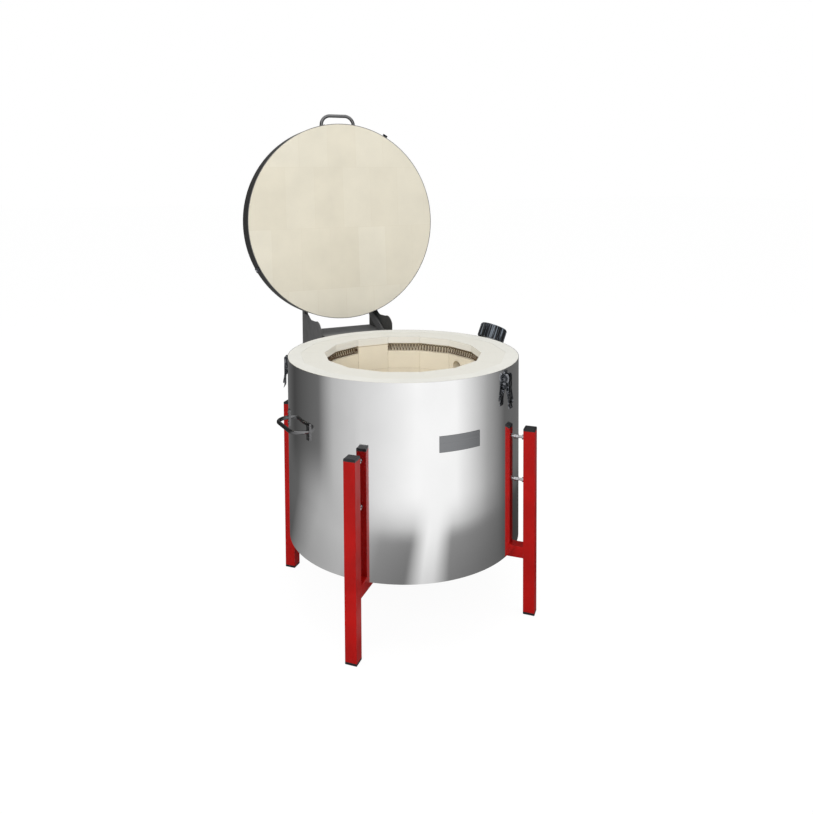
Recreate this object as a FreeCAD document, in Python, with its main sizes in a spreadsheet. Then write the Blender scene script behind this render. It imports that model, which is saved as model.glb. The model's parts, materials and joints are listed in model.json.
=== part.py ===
import FreeCAD, Part
import math
import os

import Sketcher

# Top-loading kiln, lid open. Millimetres and degrees. The origin lies on the floor under the
# chamber's axis, +Z is up, the front faces -Y and the lid hinge is at the back, +Y.
# An azimuth is counted from the front, positive towards +X.

SIZES = {
    # Chamber and walls
    "chamber_width": 492,
    "chamber_depth": 450,
    "facet_count": 14,
    "course_count": 4,
    "brick_wall": 76,
    "insulation_wall": 45,
    "jacket_sheet": 1,
    "floor_brick": 76,
    "floor_blanket": 38,
    "brick_joint": 0.4,
    "fit_gap": 0.3,
    # Base pan
    "stand_height": 210,
    "pan_sheet": 2,
    "pan_rim": 22,
    # Heating elements
    "groove_height": 28,
    "groove_depth": 28,
    "groove_drop": 37,
    "coil_diameter": 22,
    "coil_depth": 12.5,
    "coil_setback": 4,
    "tail_diameter": 6,
    "tail_spread": 42,
    "tail_bore": 14,
    "tail_passage": 12,
    "bushing_bore": 6.4,
    "bushing_collar": 20,
    "collar_height": 6,
    "block_width": 112,
    "block_height": 18,
    "block_depth": 24,
    "tail_stub": 8,
    "thermocouple_course": 2.33,
    "sheath_diameter": 10,
    "sheath_reach": 25,
    "head_diameter": 34,
    "head_length": 30,
    # Legs and base frame
    "leg_width": 35,
    "leg_wall": 2,
    "leg_standoff": 25,
    "leg_azimuth": 45,
    "leg_top_from_rim": -199,
    "cap_height": 8,
    "foot_height": 8,
    "cap_bevel": 1.5,
    "plug_length": 15,
    "stud_diameter": 8,
    "stud_upper_from_rim": -231,
    "stud_lower_from_rim": -363,
    "nut_width": 13,
    "nut_height": 6.5,
    # Side handles
    "side_handle_level_from_rim": -177,
    "side_handle_turn": 12.3,
    "side_handle_reach": 44,
    "side_handle_bend": 37,
    "side_handle_rod": 12,
    "side_handle_azimuth": -85.6,
    "flange_height": 50,
    "flange_width": 16,
    "flange_sheet": 3,
    "rivet_diameter": 7,
    "rivet_head": 2,
    "rivet_pitch": 32,
    # Name plate
    "plate_height": 46,
    "plate_width": 130,
    "plate_sheet": 1.2,
    "plate_level_from_rim": -176,
    "plate_azimuth": 1,
    # Latches
    "left_latch_azimuth": -117,
    "right_latch_azimuth": 30,
    "latch_top_from_rim": -5,
    "latch_base_height": 54,
    "latch_sheet": 2,
    "latch_pin_out": 10,
    "latch_pin_drop": 13,
    "latch_pin_diameter": 4,
    "pin_clearance": 0.06,
    "ear_radius": 4,
    "ear_spread": 16,
    "hub_radius": 5.5,
    "lever_width": 22,
    "lever_length": 96,
    "lever_sheet": 2.5,
    "lever_curl": 3.5,
    "bail_drop": 22,
    "bail_inset": 2.5,
    "bail_wire": 4,
    "bail_length": 59,
    "bail_width": 27,
    # Hinge and terminal box
    "hinge_reach_from_jacket": 83,
    "hinge_level_from_rim": -47.4,
    "plate_span": 284,
    "hinge_plate": 3,
    "box_bottom_from_stand": 52,
    "horn_width": 25,
    "box_top_from_rim": -28,
    "box_sheet": 2,
    "shoulder_level_from_rim": -34,
    "ear_front_from_jacket": 31,
    "ear_base_from_rim": -18,
    "ear_corner_from_rim": 13,
    "ear_crest_from_rim": 33,
    "ear_crest_reach_from_jacket": 91,
    "ear_dip_from_rim": 30,
    "ear_dip_reach_from_jacket": 136,
    "ear_step_from_rim": 42,
    "ear_step_reach_from_jacket": 176,
    "horn_top_from_rim": 96,
    "shaft_diameter": 12,
    "shaft_nut": 19,
    "shaft_nut_height": 9,
    "shaft_clearance": 2,
    "raised_top_from_rim": -13,
    "raised_end_from_jacket": 60,
    "notch_end_from_jacket": 158,
    "notch_width": 13,
    "louvre_count": 8,
    "louvre_length": 90,
    "louvre_height": 5,
    "louvre_pitch": 22,
    "louvre_level_from_rim": -256,
    "screw_diameter": 8,
    "screw_head": 2.5,
    "gland_hole": 20,
    "gland_width": 27,
    "gland_setback": 60,
    "buffer_height": 34,
    "buffer_width": 7,
    "buffer_depth": 7,
    # Lid
    "lid_swing": 93.8,
    "lid_seat": 0.5,
    "lid_brick": 76,
    "lid_overhang": 2,
    "lid_band": 2,
    "lid_cover": 1.5,
    "lid_flange": 18,
    "lid_handle_turn": 10.2,
    "lid_handle_reach": 41,
    "lid_handle_rod": 13,
    "lid_handle_bend": 36,
    "arm_inset": 2,
    "arm_sheet": 6,
    "arm_lean": 31.6,
    "arm_bend": 38,
    "arm_depth": 28,
    "arm_length": 210,
    "arm_foot": 22,
    "arm_foot_sheet": 4,
    "arm_hub": 17,
    "arm_clearance": 3,
    "arm_screw": 9,
    "arm_screw_head": 3,
    "keeper_width": 18,
    "keeper_reach": 13,
    "keeper_level": 11,
    "keeper_height": 32,
    "keeper_sheet": 2.5,
    # Vent
    "vent_azimuth": 106.5,
    "vent_level_from_rim": -86,
    "vent_bore": 36,
    "liner_wall": 4,
    "vent_tilt": 26.7,
    "vent_clearance": 2,
    "vent_cap_level_from_rim": 4.3,
    "vent_pipe": 64,
    "vent_pipe_wall": 2,
    "vent_foot_from_rim": -142,
    "vent_cap_diameter": 95.6,
    "vent_cap_height": 48.4,
    "vent_cap_wall": 4,
    "rib_count": 30,
    "rib_height": 2,
    "rib_width": 4.5,
    "port_count": 3,
    "port_diameter": 16,
    "port_circle": 36,
    "turn_clearance": 0.06,
}


class Size:
    """A number together with the sheet expression that gives it."""

    def __init__(self, value, text):
        self.value = float(value)
        self.text = text

    def __add__(self, other):
        return combine(self, "+", other, lambda a, b: a + b)

    def __radd__(self, other):
        return combine(other, "+", self, lambda a, b: a + b)

    def __sub__(self, other):
        return combine(self, "-", other, lambda a, b: a - b)

    def __rsub__(self, other):
        return combine(other, "-", self, lambda a, b: a - b)

    def __mul__(self, other):
        return combine(self, "*", other, lambda a, b: a * b)

    def __rmul__(self, other):
        return combine(other, "*", self, lambda a, b: a * b)

    def __truediv__(self, other):
        return combine(self, "/", other, lambda a, b: a / b)

    def __rtruediv__(self, other):
        return combine(other, "/", self, lambda a, b: a / b)

    def __neg__(self):
        return Size(-self.value, f"(0 - {self.text})")


def as_size(item):
    if isinstance(item, Size):
        return item
    return Size(item, f"({float(item)})")


def combine(first, sign, second, work):
    first = as_size(first)
    second = as_size(second)
    return Size(work(first.value, second.value), f"({first.text} {sign} {second.text})")


def cosine(angle):
    return Size(math.cos(math.radians(angle.value)), f"cos({angle.text})")


def sine(angle):
    return Size(math.sin(math.radians(angle.value)), f"sin({angle.text})")


def tangent(angle):
    return Size(math.tan(math.radians(angle.value)), f"tan({angle.text})")


def root(size):
    return Size(math.sqrt(size.value), f"sqrt({size.text})")


def arc_angle(length, radius):
    """The angle in degrees that an arc of this length takes at the radius."""
    value = math.degrees(length.value / radius.value)
    return Size(value, f"({length.text} / {radius.text} * 180 / pi)")


def chord_depth(radius, offset):
    """Distance from the axis to a circle's edge, measured beside the axis by the offset."""
    return root(radius * radius - offset * offset)


doc = FreeCAD.newDocument("kiln")
sheet = doc.addObject("Spreadsheet::Sheet", "Sizes")
for row, (alias, value) in enumerate(SIZES.items(), 1):
    sheet.set(f"A{row}", alias)
    sheet.set(f"B{row}", str(value))
    sheet.setAlias(f"B{row}", alias)
doc.recompute()

size = {alias: Size(value, f"Sizes.{alias}") for alias, value in SIZES.items()}
ZERO = Size(0, "0")
UP = FreeCAD.Vector(0, 0, 1)
ALONG_X = FreeCAD.Vector(1, 0, 0)
parts = []


# Tools for bodies, sketches and features

def new_body(label):
    body = doc.addObject("PartDesign::Body", label)
    body.Label = label
    return body


def keep(item):
    """The object becomes a piece of the kiln with a file of its own."""
    parts.append(item)
    return item


def plane_of(body, role):
    return next(item for item in body.Origin.OriginFeatures if item.Role == role)


def new_sketch(body, name, role, offset=None, turn=None):
    """A sketch on an origin plane, lifted by the offset or turned about its own upright axis."""
    sketch = body.newObject("Sketcher::SketchObject", name)
    sketch.AttachmentSupport = (plane_of(body, role), [""])
    sketch.MapMode = "FlatFace"
    if turn is not None:
        rotation = FreeCAD.Rotation(FreeCAD.Vector(0, 1, 0), turn.value)
        sketch.AttachmentOffset = FreeCAD.Placement(FreeCAD.Vector(), rotation)
        sketch.setExpression("AttachmentOffset.Rotation.Angle", turn.text)
    if offset is not None:
        sketch.setExpression("AttachmentOffset.Base.z", offset.text)
    return sketch


def bind_constraint(sketch, kind, parts_of_it, amount):
    amount = as_size(amount)
    index = sketch.addConstraint(Sketcher.Constraint(kind, *parts_of_it, amount.value))
    if "Sizes." in amount.text:
        sketch.renameConstraint(index, f"size{index}")
        sketch.setExpression(f"Constraints.size{index}", amount.text)


def pin_point(sketch, geometry, position, x, y):
    bind_constraint(sketch, "DistanceX", (-1, 1, geometry, position), x)
    bind_constraint(sketch, "DistanceY", (-1, 1, geometry, position), y)


def add_circle(sketch, x, y, radius):
    x, y, radius = as_size(x), as_size(y), as_size(radius)
    centre = FreeCAD.Vector(x.value, y.value, 0)
    geometry = sketch.addGeometry(Part.Circle(centre, UP, radius.value))
    pin_point(sketch, geometry, 3, x, y)
    bind_constraint(sketch, "Radius", (geometry,), radius)


def arc_between(start, end, radius):
    """The short arc from start to end; a positive radius has its centre on the left."""
    middle = (start + end) * 0.5
    way = end - start
    half = way.Length / 2
    left = FreeCAD.Vector(-way.y, way.x, 0).normalize()
    rise = math.sqrt(max(radius * radius - half * half, 0))
    centre = middle + left * math.copysign(rise, radius)
    first, last = (start, end) if radius > 0 else (end, start)
    begin = math.atan2(first.y - centre.y, first.x - centre.x)
    finish = math.atan2(last.y - centre.y, last.x - centre.x)
    if finish < begin:
        finish += 2 * math.pi
    return Part.ArcOfCircle(Part.Circle(centre, UP, abs(radius)), begin, finish)


def add_path(sketch, steps, closed):
    """Joined lines and arcs. A step is (x, y), or (x, y, radius) for an arc that ends there."""
    steps = [tuple(as_size(item) for item in step) for step in steps]
    points = [FreeCAD.Vector(step[0].value, step[1].value, 0) for step in steps]
    first = 0 if closed else 1
    ends = []
    for index in range(first, len(steps)):
        start, end = points[index - 1], points[index]
        if len(steps[index]) == 3:
            radius = steps[index][2]
            geometry = sketch.addGeometry(arc_between(start, end, radius.value))
            begin, finish = (1, 2) if radius.value > 0 else (2, 1)
            length = radius if radius.value > 0 else -radius
            ends.append((geometry, begin, finish, length))
        else:
            geometry = sketch.addGeometry(Part.LineSegment(start, end))
            ends.append((geometry, 1, 2, None))
    for index, (geometry, begin, finish, length) in enumerate(ends):
        x, y = steps[first + index][:2]
        pin_point(sketch, geometry, finish, x, y)
        if index > 0 or closed:
            before, _, before_finish, _ = ends[index - 1]
            joint = Sketcher.Constraint("Coincident", before, before_finish, geometry, begin)
            sketch.addConstraint(joint)
        else:
            pin_point(sketch, geometry, begin, *steps[0][:2])
        if length is not None:
            bind_constraint(sketch, "Radius", (geometry,), length)


def rectangle(left, bottom, right, top):
    return [(right, bottom), (right, top), (left, top), (left, bottom)]


def add_feature(body, kind, name, sketch):
    feature = body.newObject(kind, name)
    feature.Profile = sketch
    return feature


def pad(body, sketch, length, side="One side", reverse=False):
    feature = add_feature(body, "PartDesign::Pad", f"{sketch.Name}_pad", sketch)
    feature.SideType = side
    feature.Reversed = reverse
    feature.setExpression("Length", as_size(length).text)
    return feature


def pocket(body, sketch, length, side="One side", reverse=False):
    """Cuts against the sketch's normal, or along it when reversed."""
    feature = add_feature(body, "PartDesign::Pocket", f"{sketch.Name}_pocket", sketch)
    feature.SideType = side
    feature.Reversed = reverse
    feature.setExpression("Length", as_size(length).text)
    return feature


def revolve(body, sketch, axis="V_Axis"):
    feature = add_feature(body, "PartDesign::Revolution", f"{sketch.Name}_turned", sketch)
    feature.ReferenceAxis = (sketch, [axis])
    feature.Angle = 360
    return feature


def repeat_round(body, feature, count):
    pattern = body.newObject("PartDesign::PolarPattern", f"{feature.Name}_round")
    pattern.Originals = [feature]
    pattern.Axis = (plane_of(body, "Z_Axis"), [""])
    pattern.Angle = 360
    pattern.setExpression("Occurrences", count.text)
    body.Tip = pattern
    return pattern


def pipe(body, path, profile):
    feature = add_feature(body, "PartDesign::AdditivePipe", f"{path.Name}_pipe", profile)
    feature.Spine = (path, [f"Edge{index + 1}" for index in range(path.GeometryCount)])
    return feature


def bevel(body, level, length):
    """Bevels the edges that lie flat at a level of the body's present shape."""
    doc.recompute()
    solid = body.Tip
    names = []
    for index, edge in enumerate(solid.Shape.Edges, 1):
        box = edge.BoundBox
        if abs(box.ZMin - level.value) < 1e-4 and abs(box.ZMax - level.value) < 1e-4:
            names.append(f"Edge{index}")
    feature = body.newObject("PartDesign::Chamfer", f"{body.Name}_bevel{len(names)}")
    feature.Base = (solid, names)
    feature.setExpression("Size", length.text)
    return feature


def face_azimuth(item, azimuth):
    """Turns a piece that is drawn at the front to its azimuth."""
    item.Placement = FreeCAD.Placement(FreeCAD.Vector(), FreeCAD.Rotation(UP, azimuth.value))
    item.setExpression("Placement.Rotation.Angle", azimuth.text)
    return item


def turned(shape, azimuth, lift=0):
    copy = shape.copy()
    copy.rotate(FreeCAD.Vector(), UP, azimuth)
    copy.translate(FreeCAD.Vector(0, 0, lift))
    return copy


def group(label, shapes):
    """Several separate solids of one kind as one piece."""
    item = doc.addObject("Part::Feature", label)
    item.Label = label
    item.Shape = Part.makeCompound(shapes)
    return keep(item)


def along_y(radius, start, end, x, z):
    """A round bar from one y to another."""
    base = FreeCAD.Vector(x, start, z)
    return Part.makeCylinder(radius, end - start, base, FreeCAD.Vector(0, 1, 0))


# Levels and radii that the pieces share

chamber_radius = size["chamber_width"] / 2
brick_back = chamber_radius + size["brick_wall"]
jacket_inner = brick_back + size["insulation_wall"]
jacket_radius = jacket_inner + size["jacket_sheet"]
skin = jacket_radius + size["fit_gap"]
blanket_level = size["stand_height"] + size["pan_sheet"]
slab_level = blanket_level + size["floor_blanket"]
chamber_floor = slab_level + size["floor_brick"]
rim_level = chamber_floor + size["chamber_depth"]
facet_angle = 360 / size["facet_count"]
half_facet = facet_angle / 2
facets = int(size["facet_count"].value)
courses = int(size["course_count"].value)
course_pitch = size["chamber_depth"] / size["course_count"]
azimuth_step = facet_angle.value
BASES = {
    "_from_rim": rim_level,
    "_from_jacket": jacket_radius,
    "_from_stand": size["stand_height"],
}
for alias in SIZES:
    for ending, base in BASES.items():
        if alias.endswith(ending):
            size[alias.removesuffix(ending)] = base + size[alias]
leg_radius = jacket_radius + size["leg_standoff"] + size["leg_width"] / 2
lid_radius = jacket_radius + size["lid_overhang"]
lid_level = rim_level + size["lid_seat"]
cover_base = lid_level + size["lid_brick"]
cover_top = cover_base + size["lid_cover"]
lid_top = cover_top + size["lid_cover"]
band_inner = lid_radius + size["fit_gap"]
band_outer = band_inner + size["lid_band"]


def polygon(flat_radius):
    """Corners of the many-sided wall whose flats lie at this radius."""
    corner_radius = flat_radius / cosine(half_facet)
    corners = []
    for index in range(facets):
        angle = facet_angle * (index + 0.5)
        corners.append((corner_radius * sine(angle), -(corner_radius * cosine(angle))))
    return corners


# Base pan, floor insulation and brick floor

pan = keep(new_body("base_pan"))
pan_outer = jacket_inner - size["fit_gap"]
pan_inner = pan_outer - size["pan_sheet"]
profile = new_sketch(pan, "pan_profile", "XZ_Plane")
pan_top = size["stand_height"] + size["pan_rim"]
add_path(profile, [
    (ZERO, size["stand_height"]),
    (pan_outer, size["stand_height"]),
    (pan_outer, pan_top),
    (pan_inner, pan_top),
    (pan_inner, blanket_level),
    (ZERO, blanket_level),
], True)
revolve(pan, profile)

blanket = keep(new_body("floor_insulation"))
disc = new_sketch(blanket, "blanket_disc", "XY_Plane", blanket_level)
add_circle(disc, ZERO, ZERO, pan_inner - size["fit_gap"])
pad(blanket, disc, size["floor_blanket"])

slab = keep(new_body("floor_brick_slab"))
outline = new_sketch(slab, "slab_outline", "XY_Plane", slab_level)
add_path(outline, polygon(brick_back), True)
pad(slab, outline, size["floor_brick"])

# Chamber wall: brick courses with one element groove each

groove_offset = course_pitch - size["groove_drop"]
half_joint = size["brick_joint"] / 2


def brick_body(name):
    """One wedge brick of the wall, drawn at the front with its foot at level zero."""
    body = new_body(name)
    sketch = new_sketch(body, f"{name}_wedge", "XY_Plane")
    side = tangent(half_facet)
    inner = chamber_radius * side - half_joint
    outer = brick_back * side - half_joint
    add_path(sketch, [
        (inner, -chamber_radius),
        (-inner, -chamber_radius),
        (-outer, -brick_back),
        (outer, -brick_back),
    ], True)
    pad(body, sketch, course_pitch - size["brick_joint"])
    return body


grooved = brick_body("grooved_brick")
slot = new_sketch(grooved, "groove_section", "YZ_Plane")
slot_back = -(chamber_radius + size["groove_depth"])
slot_low = groove_offset - size["groove_height"] / 2
slot_high = groove_offset + size["groove_height"] / 2
slot_round = size["groove_height"] / 2
slot_arc = slot_back + slot_round
add_path(slot, [
    (-chamber_radius + 1, slot_low),
    (-chamber_radius + 1, slot_high),
    (slot_arc, slot_high),
    (slot_back, groove_offset, slot_round),
    (slot_arc, slot_low, slot_round),
], True)
pocket(grooved, slot, brick_back * 2, side="Symmetric")

plain = brick_body("plain_brick")
doc.recompute()

coil_radius = size["coil_diameter"] / 2
coil_track = chamber_radius + size["coil_depth"]
coil_lift = slot_low + coil_radius + size["fit_gap"]
tail_radius = size["tail_diameter"] / 2
bore_radius = size["tail_bore"] / 2
passage_radius = size["tail_passage"] / 2
reach_back = jacket_radius.value + 20


def course_floor(course):
    return chamber_floor.value + course * course_pitch.value


def back_brick(course):
    """The brick behind the terminals: each tail enters from its side and leaves at its back."""
    brick = turned(plain.Shape, 180, course_floor(course))
    level = course_floor(course) + coil_lift.value
    for side in (-1, 1):
        spread = size["tail_spread"].value * side
        bottom = coil_track.value - bore_radius.value
        out = along_y(bore_radius.value, bottom, reach_back, spread, level)
        corner = FreeCAD.Vector(spread, coil_track.value, level)
        into = FreeCAD.Vector(side, 0, 0)
        across = Part.makeCylinder(passage_radius.value, size["tail_spread"].value, corner, into)
        brick = brick.cut([out, across])
    return brick


probe_level = chamber_floor + course_pitch * size["thermocouple_course"]
sheath_radius = size["sheath_diameter"] / 2
vent_radius = size["vent_bore"] / 2
liner_radius = vent_radius + size["liner_wall"]


def vent_hole():
    hole = Part.makeCylinder(
        (liner_radius + size["fit_gap"]).value,
        reach_back,
        FreeCAD.Vector(0, 0, size["vent_level"].value),
        FreeCAD.Vector(0, -1, 0),
    )
    return turned(hole, size["vent_azimuth"].value)


def probe_hole():
    radius = (sheath_radius + size["fit_gap"]).value
    return along_y(radius, 0, reach_back, 0, probe_level.value)


def meets(course, level, radius):
    """Whether a hole at this level touches the bricks of the course."""
    low = course_floor(course)
    return low - radius.value < level.value < low + course_pitch.value + radius.value


for course in range(courses):
    bricks = []
    for index in range(facets):
        if index == facets // 2:
            brick = back_brick(course)
        else:
            brick = turned(grooved.Shape, index * azimuth_step, course_floor(course))
        if meets(course, size["vent_level"], liner_radius):
            brick = brick.cut(vent_hole())
        if meets(course, probe_level, sheath_radius):
            brick = brick.cut(probe_hole())
        bricks.extend(brick.Solids)
    group(f"brick_course_{course + 1}", bricks)

# Backup insulation between bricks and jacket

backup = new_body("backup_ring")
ring = new_sketch(backup, "backup_outline", "XY_Plane", slab_level)
add_circle(ring, ZERO, ZERO, jacket_inner - size["fit_gap"])
add_path(ring, polygon(brick_back + size["fit_gap"]), True)
pad(backup, ring, rim_level - slab_level)
doc.recompute()
holes = [vent_hole(), probe_hole()]
for course in range(courses):
    level = course_floor(course) + coil_lift.value
    for side in (-1, 1):
        spread = side * size["tail_spread"].value
        radius = (bore_radius + size["fit_gap"]).value
        holes.append(along_y(radius, 0, reach_back, spread, level))
group("wall_insulation", [backup.Shape.cut(holes)])

# Heating elements: the outer form of each coil, its tails, bushings and terminal block

coil_corner = coil_track / cosine(half_facet)
coils = []
for course in range(courses):
    level = course_floor(course) + coil_lift.value
    corners = []
    for index in range(facets):
        angle = math.radians((index + 0.5) * azimuth_step + 180)
        x = coil_corner.value * math.sin(angle)
        y = -coil_corner.value * math.cos(angle)
        corners.append(FreeCAD.Vector(x, y, level))
    setback = size["coil_setback"].value
    corners[0] += (corners[1] - corners[0]).normalize() * setback
    corners[-1] += (corners[-2] - corners[-1]).normalize() * setback
    spine = Part.makePolygon(corners)
    section = Part.Wire(Part.Circle(corners[0], corners[1] - corners[0], coil_radius.value).toShape())
    coil = spine.makePipeShell([section], True, False, 1)
    coils.append(coil)
    group(f"heating_coil_{course + 1}", [coil])

block_front = skin + size["collar_height"]
block_back = block_front + size["block_depth"]
tail_end = block_back + size["tail_stub"]
tails = []
bushings = []
blocks = []
collar_front = chord_depth(skin, size["tail_spread"] - size["bushing_collar"] / 2)
for course in range(courses):
    level = course_floor(course) + coil_lift.value
    half_height = size["block_height"].value / 2
    corner = FreeCAD.Vector(-size["block_width"].value / 2, block_front.value, level - half_height)
    block = Part.makeBox(
        size["block_width"].value, size["block_depth"].value, size["block_height"].value, corner
    )
    foot = along_y(half_height, skin.value, block_front.value, 0, level)
    block = block.fuse(foot).removeSplitter()
    for side in (-1, 1):
        spread = side * size["tail_spread"].value
        coil_end = side * (coil_track * tangent(half_facet) + size["coil_setback"] * 2).value
        corner = FreeCAD.Vector(spread, coil_track.value, level)
        inward = Part.makeCylinder(
            tail_radius.value, abs(coil_end - spread), corner, FreeCAD.Vector(side, 0, 0)
        )
        outward = along_y(tail_radius.value, coil_track.value, tail_end.value, spread, level)
        knee = Part.makeSphere(tail_radius.value, corner)
        tails.append(outward.fuse([inward, knee]).removeSplitter().cut(coils[course]))
        hole = along_y(size["bushing_bore"].value / 2, 0, reach_back * 2, spread, level)
        sleeve = along_y(bore_radius.value, brick_back.value, block_front.value, spread, level)
        collar = along_y(
            size["bushing_collar"].value / 2, collar_front.value, block_front.value, spread, level
        )
        bushings.append(sleeve.fuse(collar).cut(hole))
        block = block.cut(hole)
    blocks.append(block)
group("element_tails", tails)
group("tail_bushings", bushings)
group("terminal_blocks", blocks)

# Thermocouple with its head, through the back wall

probe = keep(new_body("thermocouple"))
section = new_sketch(probe, "probe_section", "XY_Plane")
probe_tip = -(chamber_radius - size["sheath_reach"])
head_start = -skin
head_radius = size["head_diameter"] / 2
head_end = head_start - size["head_length"]
add_path(section, [
    (ZERO, head_end),
    (head_radius - 4, head_end),
    (head_radius, head_end + 4),
    (head_radius, head_start),
    (sheath_radius, head_start),
    (sheath_radius, probe_tip - sheath_radius),
    (ZERO, probe_tip, sheath_radius),
], True)
revolve(probe, section)
half_turn = Size(180, "(180.0)")
face_azimuth(probe, half_turn)
probe.setExpression("Placement.Base.z", probe_level.text)

# Jacket with the holes for studs, bushings, thermocouple and vent

jacket = new_body("jacket_shell")
skin_ring = new_sketch(jacket, "jacket_ring", "XY_Plane", size["stand_height"])
add_circle(skin_ring, ZERO, ZERO, jacket_radius)
add_circle(skin_ring, ZERO, ZERO, jacket_inner)
pad(jacket, skin_ring, rim_level - size["stand_height"])
stud_radius = size["stud_diameter"] / 2
stud_holes = new_sketch(jacket, "stud_holes", "XZ_Plane", turn=size["leg_azimuth"])
for level in (size["stud_upper"], size["stud_lower"]):
    add_circle(stud_holes, ZERO, level, stud_radius + size["fit_gap"])
cut = pocket(jacket, stud_holes, jacket_radius * 2, reverse=True)
leg_count = Size(4, "4")
repeat_round(jacket, cut, leg_count)
doc.recompute()
group("jacket", [jacket.Shape.cut(holes)])

# Legs, caps, feet and the cross of tubes under the kiln

half_leg = size["leg_width"] / 2
leg_inner = half_leg - size["leg_wall"]
leg_foot_top = size["foot_height"]
leg_tube_top = size["leg_top"] - size["cap_height"]
beam_end = leg_radius - half_leg
LEGS = {"front_right": 1, "front_left": -1, "rear_right": 3, "rear_left": -3}


def square(half, centre_y=ZERO):
    return rectangle(-half, centre_y - half, half, centre_y + half)


for place, quarter in LEGS.items():
    leg = keep(new_body(f"leg_{place}"))
    section = new_sketch(leg, f"leg_section_{place}", "XY_Plane", leg_foot_top)
    add_path(section, square(half_leg, -leg_radius), True)
    add_path(section, square(leg_inner, -leg_radius), True)
    pad(leg, section, leg_tube_top - leg_foot_top)
    stud_bores = new_sketch(leg, f"stud_bores_{place}", "XZ_Plane")
    for level in (size["stud_upper"], size["stud_lower"]):
        add_circle(stud_bores, ZERO, level, stud_radius + size["fit_gap"] / 2)
    pocket(leg, stud_bores, leg_radius, reverse=True)
    face_azimuth(leg, size["leg_azimuth"] * quarter)


def plug_body(name, thickness):
    """A plastic end plug: a bevelled plate with a square peg below it, plate top at its height."""
    body = new_body(name)
    plate = new_sketch(body, f"{name}_plate", "XY_Plane")
    add_path(plate, square(half_leg), True)
    pad(body, plate, thickness)
    bevel(body, thickness, size["cap_bevel"])
    peg = new_sketch(body, f"{name}_peg", "XY_Plane")
    add_path(peg, square(leg_inner - size["fit_gap"] / 2), True)
    pad(body, peg, size["plug_length"], reverse=True)
    doc.recompute()
    return body


leg_azimuths = [size["leg_azimuth"].value * quarter for quarter in LEGS.values()]
cap = plug_body("leg_cap", size["cap_height"])
foot = plug_body("leg_foot", size["foot_height"])
to_leg = FreeCAD.Vector(0, -leg_radius.value, 0)
cap_shape = cap.Shape.copy()
cap_shape.translate(to_leg)
foot_shape = foot.Shape.copy()
foot_shape.rotate(FreeCAD.Vector(), ALONG_X, 180)
foot_shape.translate(to_leg)
group("leg_top_caps", [turned(cap_shape, angle, leg_tube_top.value) for angle in leg_azimuths])
group("leg_feet", [turned(foot_shape, angle, leg_foot_top.value) for angle in leg_azimuths])


def beam_body(name, start, end):
    """A level square tube under the base pan, drawn along the front radius."""
    body = new_body(name)
    centre = size["stand_height"] - half_leg
    section = new_sketch(body, f"{name}_section", "XZ_Plane", start)
    add_path(section, rectangle(-half_leg, centre - half_leg, half_leg, centre + half_leg), True)
    add_path(section, rectangle(-leg_inner, centre - leg_inner, leg_inner, centre + leg_inner), True)
    pad(body, section, end - start)
    return body


long_beam = keep(beam_body("base_beam_long", -beam_end, beam_end))
face_azimuth(long_beam, size["leg_azimuth"])
short_beam = beam_body("base_beam_half", half_leg, beam_end)
doc.recompute()
short_azimuths = (-size["leg_azimuth"].value, 3 * size["leg_azimuth"].value)
group("base_beams_short", [turned(short_beam.Shape, angle) for angle in short_azimuths])

# Stand-off studs between jacket and legs, each with a nut on both sides of the leg's wall

stud = new_body("standoff_stud")
rod = new_sketch(stud, "stud_rod", "XZ_Plane", jacket_inner)
add_circle(rod, ZERO, ZERO, stud_radius)
stud_end = beam_end + size["leg_wall"] + size["nut_height"] + 4
pad(stud, rod, stud_end - jacket_inner)
nut_corner = size["nut_width"] / 2 / Size(math.cos(math.radians(30)), "cos(30)")


def hexagon(corner_radius):
    corners = []
    for index in range(6):
        angle = Size(60 * index, f"({60 * index})")
        corners.append((corner_radius * cosine(angle), corner_radius * sine(angle)))
    return corners


nut_starts = (
    jacket_radius + size["fit_gap"],
    beam_end - size["nut_height"],
    beam_end + size["leg_wall"],
)
for index, start in enumerate(nut_starts):
    nut = new_sketch(stud, f"stud_nut{index}", "XZ_Plane", start)
    add_path(nut, hexagon(nut_corner), True)
    pad(stud, nut, size["nut_height"])
doc.recompute()
studs = []
for angle in leg_azimuths:
    for level in (size["stud_upper"], size["stud_lower"]):
        studs.append(turned(stud.Shape, angle, level.value))
group("standoff_studs", studs)


# Bow handles on curved flanges

def bow_handle(label, radius, level, turn, reach, bend, rod, height):
    """A bent round bar between two flanges that lie on a cylinder of the given radius."""
    body = new_body(label)
    half_span = radius * sine(turn)
    root_y = -chord_depth(radius, half_span) - size["flange_sheet"] / 2
    front = -(radius + reach - rod / 2)
    path = new_sketch(body, f"{label}_path", "XY_Plane", level)
    add_path(path, [
        (-half_span, root_y),
        (-half_span, front + bend),
        (-half_span + bend, front, bend),
        (half_span - bend, front),
        (half_span, front + bend, bend),
        (half_span, root_y),
    ], False)
    spread = arc_angle(size["flange_width"] / 2, radius)
    near = radius
    far = radius + size["flange_sheet"]
    for side, centre in (("left", -turn), ("right", turn)):
        low, high = centre - spread, centre + spread
        flange = new_sketch(body, f"{label}_{side}_flange", "XY_Plane", level - height / 2)
        add_path(flange, [
            (far * sine(low), -(far * cosine(low))),
            (far * sine(high), -(far * cosine(high)), far),
            (near * sine(high), -(near * cosine(high))),
            (near * sine(low), -(near * cosine(low)), -near),
        ], True)
        pad(body, flange, height)
    doc.recompute()
    section = new_sketch(body, f"{label}_section", "XZ_Plane", -root_y)
    add_circle(section, -half_span, level, rod / 2)
    pipe(body, path, section)
    return body


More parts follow.
